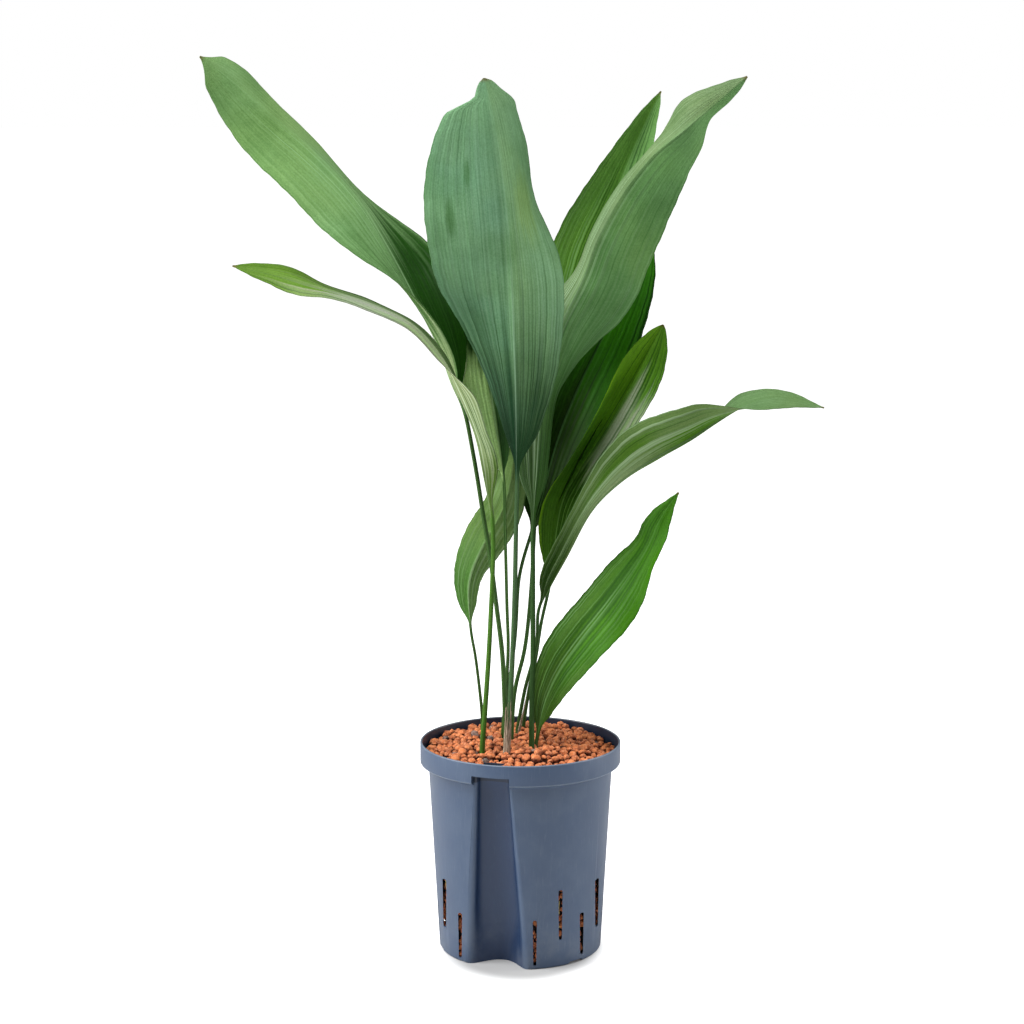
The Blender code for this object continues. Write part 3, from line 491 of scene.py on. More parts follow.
def leaf_ground(n, name, look):
    """The face's greens, partly painted light and shade, its pale patch and its marks of painted light and
    shade, and how near a point is to the foot.
    """
    height = n.plus(n.along, n.times(n.minus(n.streaks(8.0, 1.5), 0.5), 0.5))
    starts, ends = zip(*look["fade"])
    low = n.ramp(height, n.halves(*starts), n.halves(*ends), 1.0, 0.0)
    side = n.halves(0.0, 1.0)
    # The foot's and the halves' colours are partly painted light and shade.
    blade = n.mix(low, n.mix(side, *look["colour"]), n.mix(side, *look["foot"]))
    # A pale patch on the right half, in its own tint, ending between the given shares.
    if look["pale_patch"]:
        tint, start, end = look["pale_patch"]
        right = n.times(n.ramp(n.across, 0.50, 0.60), n.ramp(height, *look["fade"][1]))
        blade = n.mix(n.times(n.ramp(height, start, end, 1.0, 0.0), right), blade, tint)
    # Painted light and shade: each mark tints the blade darker or paler in a soft patch.
    for across, along, reach, rise, tint in PAINTED_LIGHT_MARKS.get(name, ()):
        offset = n.vector(n.times(n.minus(n.across, across), 1 / reach),
                          n.times(n.minus(n.along, along), 1 / rise), 0.0)
        away = n.plus(n.length(offset), n.minus(n.streaks(4.0, 6.0), 0.5))
        blade = n.mix(n.ramp(away, 0.35, 1.15, 1.0, 0.0), blade, tint, "MULTIPLY")
    return blade, low


def leaf_texture(n, blade, blotches, furrow_shade):
    """The blade's colour with blotches, furrows darkened by painted shade, cords, veins and a fine weave in
    it, and its bumps.
    """
    cords = n.ramp(n.streaks(2.3, 3.0), 0.34, 0.66)
    veins = n.ramp(n.streaks(1.5, 4.0), 0.40, 0.60)
    weave = n.ramp(n.noise(n.place, 640.0, 2.0, 0.7), 0.38, 0.62)
    # The furrow lines are darkened by painted shade, as in the valleys of pleats.
    furrow = n.ramp(n.streaks(2.8, 0.8, 1.0), 0.37, 0.44, 1.0, 0.0)
    for share, tint in ((n.ramp(blotches, 0.40, 0.68, 0.0, 0.62), BLOTCH),
                        (n.ramp(n.noise(n.place, 9.0, 3.0), 0.42, 0.66, 0.0, 0.30), WARMTH),
                        (n.times(furrow, n.ramp(n.along, 0.12, 0.60, *furrow_shade)), FURROW),
                        (n.times(cords, n.ramp(n.along, 0.15, 0.65, 0.34, 0.12)), CORD),
                        (n.times(veins, 0.42), VEIN), (n.times(weave, 0.42), WEAVE)):
        blade = n.mix(share, blade, tint, "MULTIPLY")
    normal = n.bump(veins, 0.20, 0.0002, n.bump(cords, 0.30, 0.0003))
    return blade, n.bump(weave, 0.12, 0.0002, normal)


def leaf_lines(n, blade, pale, look, low):
    """Pale lines in bundles, fewer towards the tip and on a foot that is darker than the blade."""
    left, right, *reach = look["lines"]
    amount = n.times(n.ramp(n.streaks(11.0, 1.3), 0.40, 0.62, 0.25, 1.0), n.halves(left, right))
    for limit in reach:
        amount = n.times(amount, n.ramp(n.outward, limit * 0.4, limit, 1.0, 0.15))
    darker = [max(0, 1 - foot[1] / colour[1]) for foot, colour in zip(look["foot"], look["colour"])]
    bare = n.times(n.times(low, n.halves(*darker)), 0.96)
    line = n.times(n.ramp(n.streaks(1.7, 0.6, 1.0), 0.53, 0.585), amount)
    line = n.times(line, n.minus(1.0, bare))
    return n.mix(n.times(line, n.ramp(n.along, 0.45, 0.90, 0.95, 0.15)), blade, pale)


def leaf_material(name, look, stalk, half_width, under):
    """A face of a leaf: matte, with fine veins, pale lines, furrows darkened by painted shade and soft
    blotches.
    """
    n = LeafNodes(name, half_width)
    blotches = n.noise(n.place, 17.0, 5.0, 0.65)
    blade, low = leaf_ground(n, name, look)
    blade, normal = leaf_texture(n, blade, blotches, look["furrow_shade"])
    middle = [sum(part) / 2 for part in zip(*look["colour"])]
    pale = scaled(middle, *(PALE_UNDER if under else PALE_UPPER))
    blade = leaf_lines(n, blade, pale, look, low)
    rib = n.ramp(n.outward, 0.30 / half_width, 0.8 / half_width, 1.0, 0.0)
    blade = n.mix(n.times(rib, n.ramp(n.along, 0.25, 0.60, 0.40, 0.08)), blade, pale)
    margin = n.ramp(n.outward, 0.5 - 0.9 / half_width, 0.5 - 0.4 / half_width)
    blade = n.mix(n.times(margin, 0.6), blade, MARGIN, "MULTIPLY")
    tip = n.ramp(n.plus(n.along, n.times(blotches, 0.02)), 0.995, 1.008)
    blade = n.mix(n.times(tip, 0.8), blade, TIP_BROWN)
    stem = n.mix(n.ramp(n.streaks(0.9, 9.0), 0.3, 0.7), scaled(stalk, 0.6), scaled(stalk, 1.6, 0.01))
    rough = n.ramp(blotches, 0.3, 0.7, *((0.60, 0.70) if under else (0.48, 0.58)))
    return n.shade(Base_Color=n.mix(n.ramp(n.along, -0.02, 0.03), stem, blade), Roughness=rough,
                   Normal=normal, Specular_IOR_Level=0.10 if under else 0.12)


def pot_material():
    """Blue-grey plastic with painted shade in the channel and inside the band, painted highlights on its
    edges, dusty at its foot.
    """
    n = Nodes("pot_plastic")
    place = n.object_coords()
    brushed = n.noise(n.mapped(place, (900.0, 900.0, 60.0)), 1.0, 2.0)
    cloud = n.noise(place, 28.0, 5.0, 0.6)
    base = n.mix(n.ramp(cloud, 0.35, 0.7), *POT_BLUE)
    base = n.mix(n.times(n.ramp(brushed, 0.55, 0.8), 0.25), base, POT_SHEEN)
    x, y, height = n.add("SeparateXYZ", {0: place}).outputs
    radius = n.length(n.vector(x, y, 0.0))
    body = n.add("MapRange", {0: height, 1: 0.0, 2: BAND, 3: BASE_RADIUS, 4: BODY_TOP_RADIUS})
    on_band = n.math("GREATER_THAN", height, BAND + 0.0008)
    skin = n.plus(n.times(on_band, RIM_RADIUS), n.times(n.minus(1.0, on_band), body.outputs[0]))
    within = n.minus(skin, radius)
    # Painted shade: darker where the surface lies inside the pot's outline, as in the channel and on the inner
    # wall.
    base = n.mix(n.ramp(within, 0.0012, 0.0065), base, POT_RECESS_SHADE, "MULTIPLY")
    # Painted shade: the inside face of the band is made nearly black.
    base = n.mix(n.times(on_band, n.ramp(within, 0.0008, 0.0018)), base, POT_INSIDE_SHADE)
    # Painted highlight: a pale line along the lip and along the band's lower corner.
    lip = n.ramp(height, POT_HEIGHT - 0.0011, POT_HEIGHT - 0.0002)
    from_corner = n.math("ABSOLUTE", n.minus(height, BAND + 0.0012))
    corner = n.times(n.ramp(from_corner, 0.0004, 0.0013, 1.0, 0.0),
                     n.math("GREATER_THAN", radius, RIM_RADIUS - 0.0016))
    base = n.mix(n.math("MAXIMUM", n.times(lip, 0.55), n.times(corner, 0.45)), base, POT_EDGE_HIGHLIGHT)
    dust = n.times(n.ramp(height, 0.0, 0.06, 0.30, 0.0), n.ramp(cloud, 0.45, 0.7))
    normal = n.bump(n.noise(place, 1500.0, 2.0), 0.10, 0.0001, n.bump(brushed, 0.10, 0.0002))
    return n.shade(Base_Color=n.mix(dust, base, POT_DUST), Roughness=n.ramp(cloud, 0.3, 0.75, 0.36, 0.50),
                   Normal=normal)


def clay_material(name, colour, shadow, light, underside_shade):
    """Rough fired clay: mottled from lump to lump, crusted, pored, and darkened on its undersides by painted
    shade.
    """
    n = Nodes(name)
    place = n.object_coords()
    crust = n.noise(place, 700.0, 4.0, 0.7)
    pores = n.add("TexVoronoi", {"Vector": place, "Scale": 1400.0}).outputs["Distance"]
    base = n.mix(n.ramp(n.noise(place, 130.0, 1.0), 0.38, 0.60), shadow, colour)
    base = n.mix(n.times(n.ramp(crust, 0.45, 0.70), 0.7), base, light)
    base = n.mix(n.ramp(pores, 0.0, 0.25, 0.55, 0.0), base, shadow)
    # Painted shade: faces that point down are darkened.
    upward = n.add("SeparateXYZ", {0: n.add("NewGeometry").outputs["Normal"]}).outputs[2]
    base = n.mix(n.ramp(upward, -0.20, 0.66, underside_shade, 0.0), base, UNDERSIDE_SHADE, "MULTIPLY")
    return n.shade(Base_Color=base, Roughness=0.92,
                   Normal=n.bump(pores, 0.5, 0.0004, n.bump(crust, 0.9, 0.0010)))


def plain_material(name, dark, light, scale, roughness, stretch=(1, 1, 1), bump=0.3):
    """Two colours, mingled in a grain."""
    n = Nodes(name)
    grain = n.noise(n.mapped(n.object_coords(), stretch), scale, 4.0, 0.6)
    base = n.mix(n.ramp(grain, 0.3, 0.7), dark, light)
    return n.shade(Base_Color=base, Roughness=roughness, Normal=n.bump(grain, bump, 0.0005))


# Leaves

def through(rows, per_span=SPAN_POINTS):
    """Points on the smooth curve through the rows, evenly many in each span."""
    rows = np.array(rows, float)
    rows = np.vstack([2 * rows[0] - rows[1], rows, 2 * rows[-1] - rows[-2]])
    points = []
    for a, b, c, d in zip(rows, rows[1:], rows[2:], rows[3:]):
        for t in np.arange(per_span) / per_span:
            points.append(b + 0.5 * t * (c - a + t * (2 * a - 5 * b + 4 * c - d
                                                      + t * (3 * (b - c) + d - a))))
    points.append(rows[-2])
    return np.array(points)


def leaf_line(leaf):
    """Rows of x, y, z, turn and fold up the leaf, and each row's share of the blade and of the stalk."""
    start = leaf["blade"][0][3:]
    x, y, surface = leaf["stalk"][0]
    buried = [(x, y, FOOT_HEIGHT / MM), (x, y, (FOOT_HEIGHT / MM + surface) / 2)]
    stalk = buried + leaf["stalk"]
    dense = through([point + start for point in stalk] + leaf["blade"])
    length = np.insert(np.linalg.norm(np.diff(dense[:, :3], axis=0), axis=1).cumsum(), 0, 0)
    joint = length[SPAN_POINTS * len(stalk)]
    rings = int((length[-1] - joint) / RING_STEP)
    stops = np.concatenate([np.linspace(0, joint, STALK_RINGS, endpoint=False),
                            np.linspace(joint, length[-1], rings)])
    line = np.column_stack([np.interp(stops, length, column) for column in dense.T])
    for _ in range(6):
        line[1:-1] = (line[:-2] + 2 * line[1:-1] + line[2:]) / 4
    return line, (stops - joint) / (length[-1] - joint), stops / joint


def leaf_frames(line):
    """Two directions at each row: across the blade, and out of its upper face."""
    ahead = np.gradient(line[:, :3], axis=0)
    ahead /= np.linalg.norm(ahead, axis=1)[:, None]
    side = np.cross((0, 1, 0), ahead)
    side /= np.linalg.norm(side, axis=1)[:, None]
    front = np.cross(side, ahead)
    turn = np.radians(line[:, 3])[:, None]
    return np.cos(turn) * side + np.sin(turn) * front, np.cos(turn) * front - np.sin(turn) * side


def blade_width(leaf, share, side):
    """Half the blade's width: a quick rise, its widest place, then a fall to the tip."""
    widest, rise = leaf["widest"], leaf.get("rise", BLADE_RISE)
    share = np.clip(share, 0, 1)
    width = leaf["half_width"] * (share / widest) ** rise
    width = width * ((1 - share) / (1 - widest)) ** (rise * (1 - widest) / widest)
    if "shoulders" in leaf:
        start, end, kept = leaf["shoulders"][side]
        drop = np.clip((share - start) / (end - start), 0, 1)
        width = width * (1 - (1 - kept) * drop * drop * (3 - 2 * drop))
    return width


def half_arc(fold, reach):
    """Across and lift of a point on a half blade, which curves more towards its margin."""
    places = (np.arange(ARC_STEPS) + 0.5) / ARC_STEPS * reach
    lift = np.radians(fold)[:, None] * np.interp(places, (0, 1), MARGIN_CURL)
    return np.cos(lift).sum(axis=1) * reach / ARC_STEPS, np.sin(lift).sum(axis=1) * reach / ARC_STEPS


def pleats(place, share, phase, heights):
    """Long shallow folds that run with the veins, deepest near the foot, and one slow swell."""
    reach = abs(place)
    drift = 0.25 * np.sin(4.1 * share + phase)
    fold = np.sin(2 * pi * PLEATS * reach + drift + phase)
    fold = fold + 0.45 * np.sin(2 * pi * PLEATS * 2.3 * reach + 1.9 * phase)
    rise = min(1, reach / 0.08) * min(1, (1 - reach) / 0.06)
    height = np.interp(share, PLEAT_FADE, heights)
    swell = SWELL * np.sin(2 * pi * (1.7 * share + 0.6 * place) + phase) * (1 - reach) * reach * 4
    return height * fold * rise + swell * np.clip(share / PLEAT_FADE[1], 0, 1)


def skin_faces(rings, count):
    """Quads of a skin's upper face, under face and rims, where each ring holds count points of both faces."""
    a = (np.arange(rings - 1)[:, None] * 2 * count + np.arange(count - 1)).ravel()
    upper = np.stack([a, a + 1, a + 1 + 2 * count, a + 2 * count], axis=1)
    a = np.arange(rings - 1) * 2 * count
    left = np.stack([a, a + 2 * count, a + 3 * count, a + count], axis=1)
    a = np.arange(count - 1)
    low = np.stack([a, a + count, a + count + 1, a + 1], axis=1)
    rims = [left, left[:, ::-1] + count - 1, low, low[:, ::-1] + (rings - 1) * 2 * count]
    return upper, upper[:, ::-1] + count, np.concatenate(rims)


def leaf_skin(name, leaf, line, share, up_stalk, places):
    """The points of the upper and then the under face, ring by ring up the leaf."""
    across, out = leaf_frames(line)
    path, fold = line[:, :3], line[:, 4]
    on_blade = np.clip(share, 0, 1)
    radius = leaf["radius"] * (1 - STALK_TAPER * np.minimum(up_stalk, 1)) * (1 - RIB_TAPER * on_blade)
    foot = leaf.get("foot", TIP_HALF_WIDTH)
    least = np.where(share <= 0, radius, np.interp(share, (0, FOOT_SHARE), (foot, TIP_HALF_WIDTH)))
    phase = (sum(map(ord, name)) % 17) * 0.6
    waver = {side: EDGE_WAVER * (np.sin(91 * share + phase * side) + 0.6 * np.sin(203 * share - phase))
             for side in (-1, 1)}
    widths = {side: np.maximum(blade_width(leaf, share, side) + waver[side], least) for side in (-1, 1)}
    opened = np.clip(share / OPENING, 0, 1)
    opened = (opened * opened * (3 - 2 * opened))[:, None]
    upper, under = [], []
    for k, place in enumerate(places):
        width = widths[1 if place > 0 else -1]
        reach, lift = half_arc(fold, abs(place))
        turn = 2 * pi * WAVES * on_blade + (place < 0) * WAVE_SHIFT
        wave = WAVE_HEIGHT * place ** 2 * np.sin(turn) * np.sin(pi * on_blade)
        folds = pleats(place, on_blade, phase, PLEAT_HEIGHTS)
        wave = wave + folds * np.clip(width / leaf["half_width"], 0, 1) ** 0.7
        flat = (path + across * (np.sign(place) * reach * width)[:, None]
                + out * (lift * width + wave)[:, None])
        angle = radians(np.interp(k, (0, len(places) - 1), STALK_SPREAD))
        sideways = across * (cos(angle) * radius)[:, None]
        upright = out * (sin(angle) * radius)[:, None]
        grooved = np.clip(up_stalk * 2 - 0.4, 0, 1)
        groove = out * (sin(angle) ** 6 * radius * GROOVE * grooved)[:, None]
        bell = np.exp(-(place * width / RIB_WIDTH) ** 2)
        rib = (RIB_DEPTH * radius * bell)[:, None]
        furrow = (RIB_FURROW * radius * bell)[:, None]
        half = BLADE_THICKNESS / 2 * (1 - MARGIN_THINNING * place ** 8)
        stalk = path + sideways
        upper.append((stalk + upright - groove) * (1 - opened) + (flat + out * (half - furrow)) * opened)
        under.append((stalk - upright) * (1 - opened) + (flat - out * (half + rib)) * opened)
    return np.concatenate([np.array(upper).transpose(1, 0, 2), np.array(under).transpose(1, 0, 2)], axis=1)


def make_leaf(name, leaf):
    """A grooved stalk that opens into a pleated blade, as one skin with an upper and an under face."""
    line, share, up_stalk = leaf_line(leaf)
    count = 2 * int(leaf["half_width"] / ACROSS_STEP / 2) + 1
    steps = np.linspace(-1, 1, count)
    places = np.sign(steps) * np.abs(steps) ** 1.15
    skin = leaf_skin(name, leaf, line, share, up_stalk, places)
    top, bottom, rims = skin_faces(len(line), count)
    faces = np.concatenate([top, bottom, rims]).tolist()
    upper, under, stalk = LOOKS[name]
    materials = [leaf_material(name + "_upper", upper, stalk, leaf["half_width"], False),
                 leaf_material(name + "_under", under, stalk, leaf["half_width"], True)]
    thing = finish_piece(name + "_fine", skin.reshape(-1, 3) * MM, faces, materials, 75)
    mesh = thing.data
    slots = np.zeros(len(mesh.polygons), np.int32)
    slots[len(top):len(top) + len(bottom)] = 1
    mesh.polygons.foreach_set("material_index", slots)
    where = np.column_stack([np.tile(np.tile(0.5 + places / 2, 2), len(line)),
                             np.repeat(np.where(share < 0, share / max(-share[0], 1e-6), share), 2 * count)])
    corners = np.zeros(len(mesh.loops), np.int32)
    mesh.loops.foreach_get("vertex_index", corners)
    layer = mesh.uv_layers.new(name="leaf")
    layer.data.foreach_set("uv", where[corners].ravel())
    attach(thing, "root")
    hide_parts(name)


# Pot

def on_pot(along, outward, height, angle=CHANNEL_ANGLE):
    """A point given across and outward of a direction that is measured from the front."""
    side = Vector((cos(angle), sin(angle), 0))
    out = Vector((sin(angle), -cos(angle), 0))
    return side * along + out * outward + Vector((0, 0, height))


def body_radius(height):
    return BASE_RADIUS + (BODY_TOP_RADIUS - BASE_RADIUS) * min(height, BAND) / BAND


def rounded(corners, steps=5):
    """An outline through (radius, height, rounding) corners, each turned into a small arc."""
    points = []
    for k, (x, z, size) in enumerate(corners):
        here = Vector((x, z))
        if not size or k in (0, len(corners) - 1):
            points.append(here)
            continue
        back = (Vector(corners[k - 1][:2]) - here).normalized() * size
        forth = (Vector(corners[k + 1][:2]) - here).normalized() * size
        for j in range(steps + 1):
            t = j / steps
            points.append(here + back * (1 - t) ** 2 + forth * t ** 2)
    return [(point.x, point.y) for point in points]


def ring_faces(base, count, levels):
    """Faces of a closed solid through rings of equally many points, each anticlockwise seen from its top."""
    faces = [tuple(base + k for k in reversed(range(count)))]
    for low in range(base, base + (levels - 1) * count, count):
        high = low + count
        faces += [(low + k, low + (k + 1) % count, high + (k + 1) % count, high + k) for k in range(count)]
    faces.append(tuple(base + (levels - 1) * count + k for k in range(count)))
    return faces


def loft(name, rings):
    """A closed solid through the rings, from its bottom to its top."""
    points = [point for ring in rings for point in ring]
    return finish_piece(name, points, ring_faces(0, len(rings[0]), len(rings)), [])


def blocks(name, ends):
    """Separate straight solids as one piece, each between two rings."""
    points, faces = [], []
    for first, last in ends:
        faces += ring_faces(len(points), len(first), 2)
        points += first + last
    return finish_piece(name, points, faces, [])


def turned(name, profile, sides=POT_SIDES):
    rings = []
    for radius, height in profile:
        angles = [2 * pi * k / sides for k in range(sides)]
        rings.append([(radius * cos(a), radius * sin(a), height) for a in angles])
    return loft(name, rings)


def cut(target, tool):
    """Cuts the tool out of the target and removes it."""
    modifier = target.modifiers.new("Boolean", "BOOLEAN")
    modifier.operation = "DIFFERENCE"
    modifier.object = tool
    modifier.solver = "EXACT"
    evaluated = target.evaluated_get(bpy.context.evaluated_depsgraph_get())
    mesh = bpy.data.meshes.new_from_object(evaluated)
    target.modifiers.clear()
    target.data = mesh
    bpy.data.objects.remove(tool, do_unlink=True)


def channel_size(height, margin):
    """The channel's half width and depth at a height, each with the margin, and the share of the way up."""
    share = min(1, height / BAND)
    return between(CHANNEL_HALF_WIDTH, share) + margin, between(CHANNEL_DEPTH, share) + margin, share


def channel_ring(height, margin, outward, steps=22):
    """The channel's outline at a height, with rounded mouth edges; the margin thickens its wall."""
    half, depth, share = channel_size(height, margin)
    wall = body_radius(height)
    bevel = between(CHANNEL_BEVEL, share)
    flare = half + bevel
    power = between(CHANNEL_ROUNDNESS, share)
    centre = sqrt((wall - bevel) ** 2 - flare ** 2)
    first = atan2(centre, flare)
    edge = []
    for k in range(7):
        angle = first + (pi - first) * k / 6
        lift = 0 if k else MOUTH_LIFT
        edge.append((flare + (bevel + lift) * cos(angle), centre + (bevel + lift) * sin(angle)))
    start = edge[0][0]
    ring = [(start, outward(start)), *edge]
    for k in range(1, steps):
        angle = pi * k / steps
        across = copysign(abs(cos(angle)) ** power, cos(angle)) * half
        ring.append((across, centre - sin(angle) ** power * (depth - (wall - centre))))
    ring += [(-x, y) for x, y in reversed(edge)]
    waved = CHANNEL_FOOT_WAVE * max(0, 1 - max(height, 0) / CHANNEL_FOOT)
    for k in range(2, len(ring)):
        share = 1 - 2 * (k - 1) / (len(ring) - 2)
        across = start * share
        wave = sqrt(edge[0][1] ** 2 + start ** 2 - across ** 2)
        wave -= depth * cos(pi * share / 2) ** 2
        ring[k] = (ring[k][0] * (1 - waved) + across * waved, ring[k][1] * (1 - waved) + wave * waved)
    ring.append((-start, outward(start)))
    return [on_pot(x, y, height) for x, y in ring]


def channel_solid(name, heights, margin, outward):
    return loft(name, [channel_ring(height, margin, outward) for height in heights])


def beyond_wall(across):
    return RIM_RADIUS + 0.010


def behind_band(across):
    return sqrt((RIM_RADIUS - WALL - 0.0001) ** 2 - across ** 2)


def slot_ends(angle, low, high):
    """Both ends of a side slot's cutter, rounded at its top and foot, drawn out the way its slide runs."""
    outline = []
    for height, width, way in ((high, SLOT_WIDTH[1], 1), (low, SLOT_WIDTH[0], -1)):
        for k in range(7):
            turn = pi * k / 6 + (0 if way > 0 else pi)
            outline.append((width / 2 * cos(turn), height + width / 2 * (sin(turn) - way)))
    pull = slide_direction(angle)
    middle = on_pot(0, sum(SLOT_RADII) / 2, 0, angle)
    half_length = (SLOT_RADII[1] - SLOT_RADII[0]) * 0.62
    return [[middle + on_pot(0, reach, 0, pull) + on_pot(x, 0, z, pull) for x, z in outline]
            for reach in (-half_length, half_length)]


def slide_direction(angle):
    """The way a slot's sides run: with the mould's front or back slide, or straight out between them."""
    ahead = cos(angle)
    if abs(ahead) < SLIDE_LIMIT:
        return angle
    return 0.0 if ahead > 0 else pi


def slot_places():
    """Each side slot: its direction from the front, its bottom and its top."""
    places = []
    for k in range(SLOTS_A_SIDE):
        low, high = HIGH_SLOT if k % 2 else LOW_SLOT
        offset = FIRST_SLOT + SLOT_PITCH * k
        from_arch = abs((offset + ARCH_PITCH / 2) % ARCH_PITCH - ARCH_PITCH / 2)
        if not k % 2 and from_arch < BESIDE_ARCH:
            low = SLOT_OVER_ARCH
        places += [(CHANNEL_ANGLE + side * offset, low, high) for side in (-1, 1)]
    return places


def radial_ends(angle, low, high, widths, radii):
    """Both ends of a radial cutter with flat sides, which is so wide at its foot and at its top."""
    corners = ((-0.5, radii[1]), (0.5, radii[1]), (0.5, radii[0]), (-0.5, radii[0]))
    return [[on_pot(side * width, out, height, angle) for side, out in corners]
            for height, width in ((low, widths[0]), (high, widths[1]))]


def make_pot():
    """The culture pot, with rounded lip, band and channel edges."""
    outside = rounded([(BASE_RADIUS - 0.006, 0, 0), (BASE_RADIUS, 0, 0.0022),
                       (BODY_TOP_RADIUS, BAND - 0.0016, 0.0008), (BODY_TOP_RADIUS + 0.0040, BAND, 0.0012),
                       (RIM_RADIUS, BAND + 0.0014, 0.0012), (RIM_RADIUS, POT_HEIGHT, 0.0011),
                       (RIM_RADIUS - 0.003, POT_HEIGHT, 0)])
    inside = rounded([(BASE_RADIUS - 0.009, WALL, 0), (body_radius(WALL) - WALL, WALL, 0.003),
                      (BODY_TOP_RADIUS - WALL, BAND - 0.001, 0.001),
                      (RIM_RADIUS - WALL, BAND + 0.0045, 0.001),
                      (RIM_RADIUS - WALL, POT_HEIGHT - 0.0008, 0.0006),
                      (RIM_RADIUS - WALL + 0.0010, POT_HEIGHT + 0.001, 0)])
    hollow = turned("hollow", inside)
    foot = [CHANNEL_FOOT * k / 6 for k in range(1, 7)]
    cut(hollow, channel_solid("wall", (-0.001, *foot, BAND, CHANNEL_WALL_TOP), WALL, beyond_wall))
    pot = turned("pot_shell", outside)
    cut(pot, hollow)
    bridge = POT_HEIGHT - BRIDGE_HEIGHT
    cut(pot, channel_solid("below", (-0.001, *foot, BAND, bridge), 0, beyond_wall))
    cut(pot, channel_solid("behind", (bridge - 0.001, POT_HEIGHT + 0.001), -0.0003, behind_band))
    cut(pot, blocks("slots", [slot_ends(*place) for place in slot_places()]))
    base_cuts = [radial_ends(CHANNEL_ANGLE + ARCH_PITCH * k, -0.001, ARCH_HEIGHT, ARCH_WIDTH, ARCH_RADII)
                 for k in range(1, ARCHES + 1)]
    base_cuts += [radial_ends(CHANNEL_ANGLE + DRAIN_PITCH * k, -0.001, WALL + 0.001,
                              (DRAIN_WIDTH, DRAIN_WIDTH), DRAIN_RADII) for k in range(1, DRAIN_SLOTS + 1)]
    cut(pot, blocks("base_cuts", base_cuts))
    dress(pot, pot_material())
    pot.data.shade_smooth()
    pot.data.set_sharp_from_angle(angle=radians(32))
    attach(pot, "root")
    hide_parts("culture_pot")


# Granules

def granule_shapes(fineness):
    """Lumpy pebbles of radius 1, as points and shared triangles."""
    ball = bmesh.new()
    bmesh.ops.create_icosphere(ball, subdivisions=fineness, radius=1)
    unit = [vert.co.copy() for vert in ball.verts]
    faces = np.array([[vert.index for vert in face.verts] for face in ball.faces])
    ball.free()
    draw = random.Random(5)
    shapes = []
    for _ in range(GRANULE_SHAPES):
        shift = Vector([draw.uniform(-50, 50) for _ in range(3)])
        stretch = [draw.uniform(0.88, 1.13) for _ in range(3)]
        points = []
        for point in unit:
            lump = 0.20 * noise.noise(point * 1.3 + shift) + 0.16 * noise.noise(point * 3.1 + shift)
            lump += 0.10 * noise.noise(point * 6.0 + shift)
            points.append([point[k] * stretch[k] * (1 + lump) for k in range(3)])
        shapes.append(np.array(points))
    return shapes, faces


def spread(draw, tries, place, space):
    """Seeded places that keep their distance: place() gives (point, radius), and space says how near."""
    kept, grid, cell = [], {}, 0.009
    for _ in range(tries):
        point, radius = place(draw)
        if point is None:
            continue
        key = tuple(int(np.floor(part / cell)) for part in point)
        near = [other for dx in (-1, 0, 1) for dy in (-1, 0, 1) for dz in (-1, 0, 1)
                for other in grid.get((key[0] + dx, key[1] + dy, key[2] + dz), ())]
        if all((point - other).length > (radius + size) * space for other, size in near):
            kept.append((point, radius))
            grid.setdefault(key, []).append((point, radius))
    return kept


def channel_reach(x, y, height):
    """How far a point lies inside the pot from the channel's wall; negative within the channel."""
    side = x * cos(CHANNEL_ANGLE) + y * sin(CHANNEL_ANGLE)
    out = x * sin(CHANNEL_ANGLE) - y * cos(CHANNEL_ANGLE)
    half, depth, _ = channel_size(height, WALL)
    return max(body_radius(height) - depth - out, abs(side) - half)


def surface_place(depth, stalks):
    """Draws places on the heap, so deep in it and clear of the wall, the channel and the stalks."""
    def place(draw):
        radius = draw.uniform(*GRANULE_SIZES)
        reach = (RIM_RADIUS - WALL - radius - 0.0004 - depth * 0.9) * sqrt(draw.random())
        angle = draw.uniform(0, 2 * pi)
        x, y = reach * cos(angle), reach * sin(angle)
        if channel_reach(x, y, SURFACE) < radius + 0.0002:
            return None, radius
        if any(hypot(x - sx, y - sy) < radius * 0.9 + size for sx, sy, size in stalks):
            return None, radius
        swell = HEAP_SWELL * noise.noise(Vector((x * 38, y * 38, 3.0)))
        swell += HEAP[0] - sum(HEAP) * (hypot(x, y) / RIM_RADIUS) ** 2
        swell += BACK_RISE * max(0, y)
        return Vector((x, y, SURFACE - depth + swell + draw.uniform(-0.0014, 0.0014))), radius
    return place


def slot_place(angle, low, high):
    """Draws places behind a side slot, against the wall."""
    def place(draw):
        radius = draw.uniform(*GRANULE_SIZES)
        height = max(draw.uniform(low - 0.001, high + 0.003), WALL + radius)
        along = draw.uniform(-0.008, 0.008)
        out = body_radius(height) - WALL - radius - draw.uniform(*SLOT_CLEARANCE)
        point = on_pot(along, out, height, angle)
        if channel_reach(point.x, point.y, height) < radius + 0.002:
            return None, radius
        return point, radius
    return place


def granule_piece(name, places, shapes, material, seed):
    """Granules at the places as one piece, each a drawn shape at a drawn turn."""
    shapes, faces = shapes
    draw = random.Random(seed)
    points, triangles = [], []
    for k, (centre, radius) in enumerate(places):
        turn = Euler([draw.uniform(0, 2 * pi) for _ in range(3)]).to_matrix()
        shape = shapes[draw.randrange(len(shapes))]
        points.append(shape @ np.array(turn).T * radius + np.array(centre))
        triangles.append(faces + k * len(shape))
    thing = finish_piece(name, np.concatenate(points), np.concatenate(triangles).tolist(), [material], 180)
    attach(thing, "root")


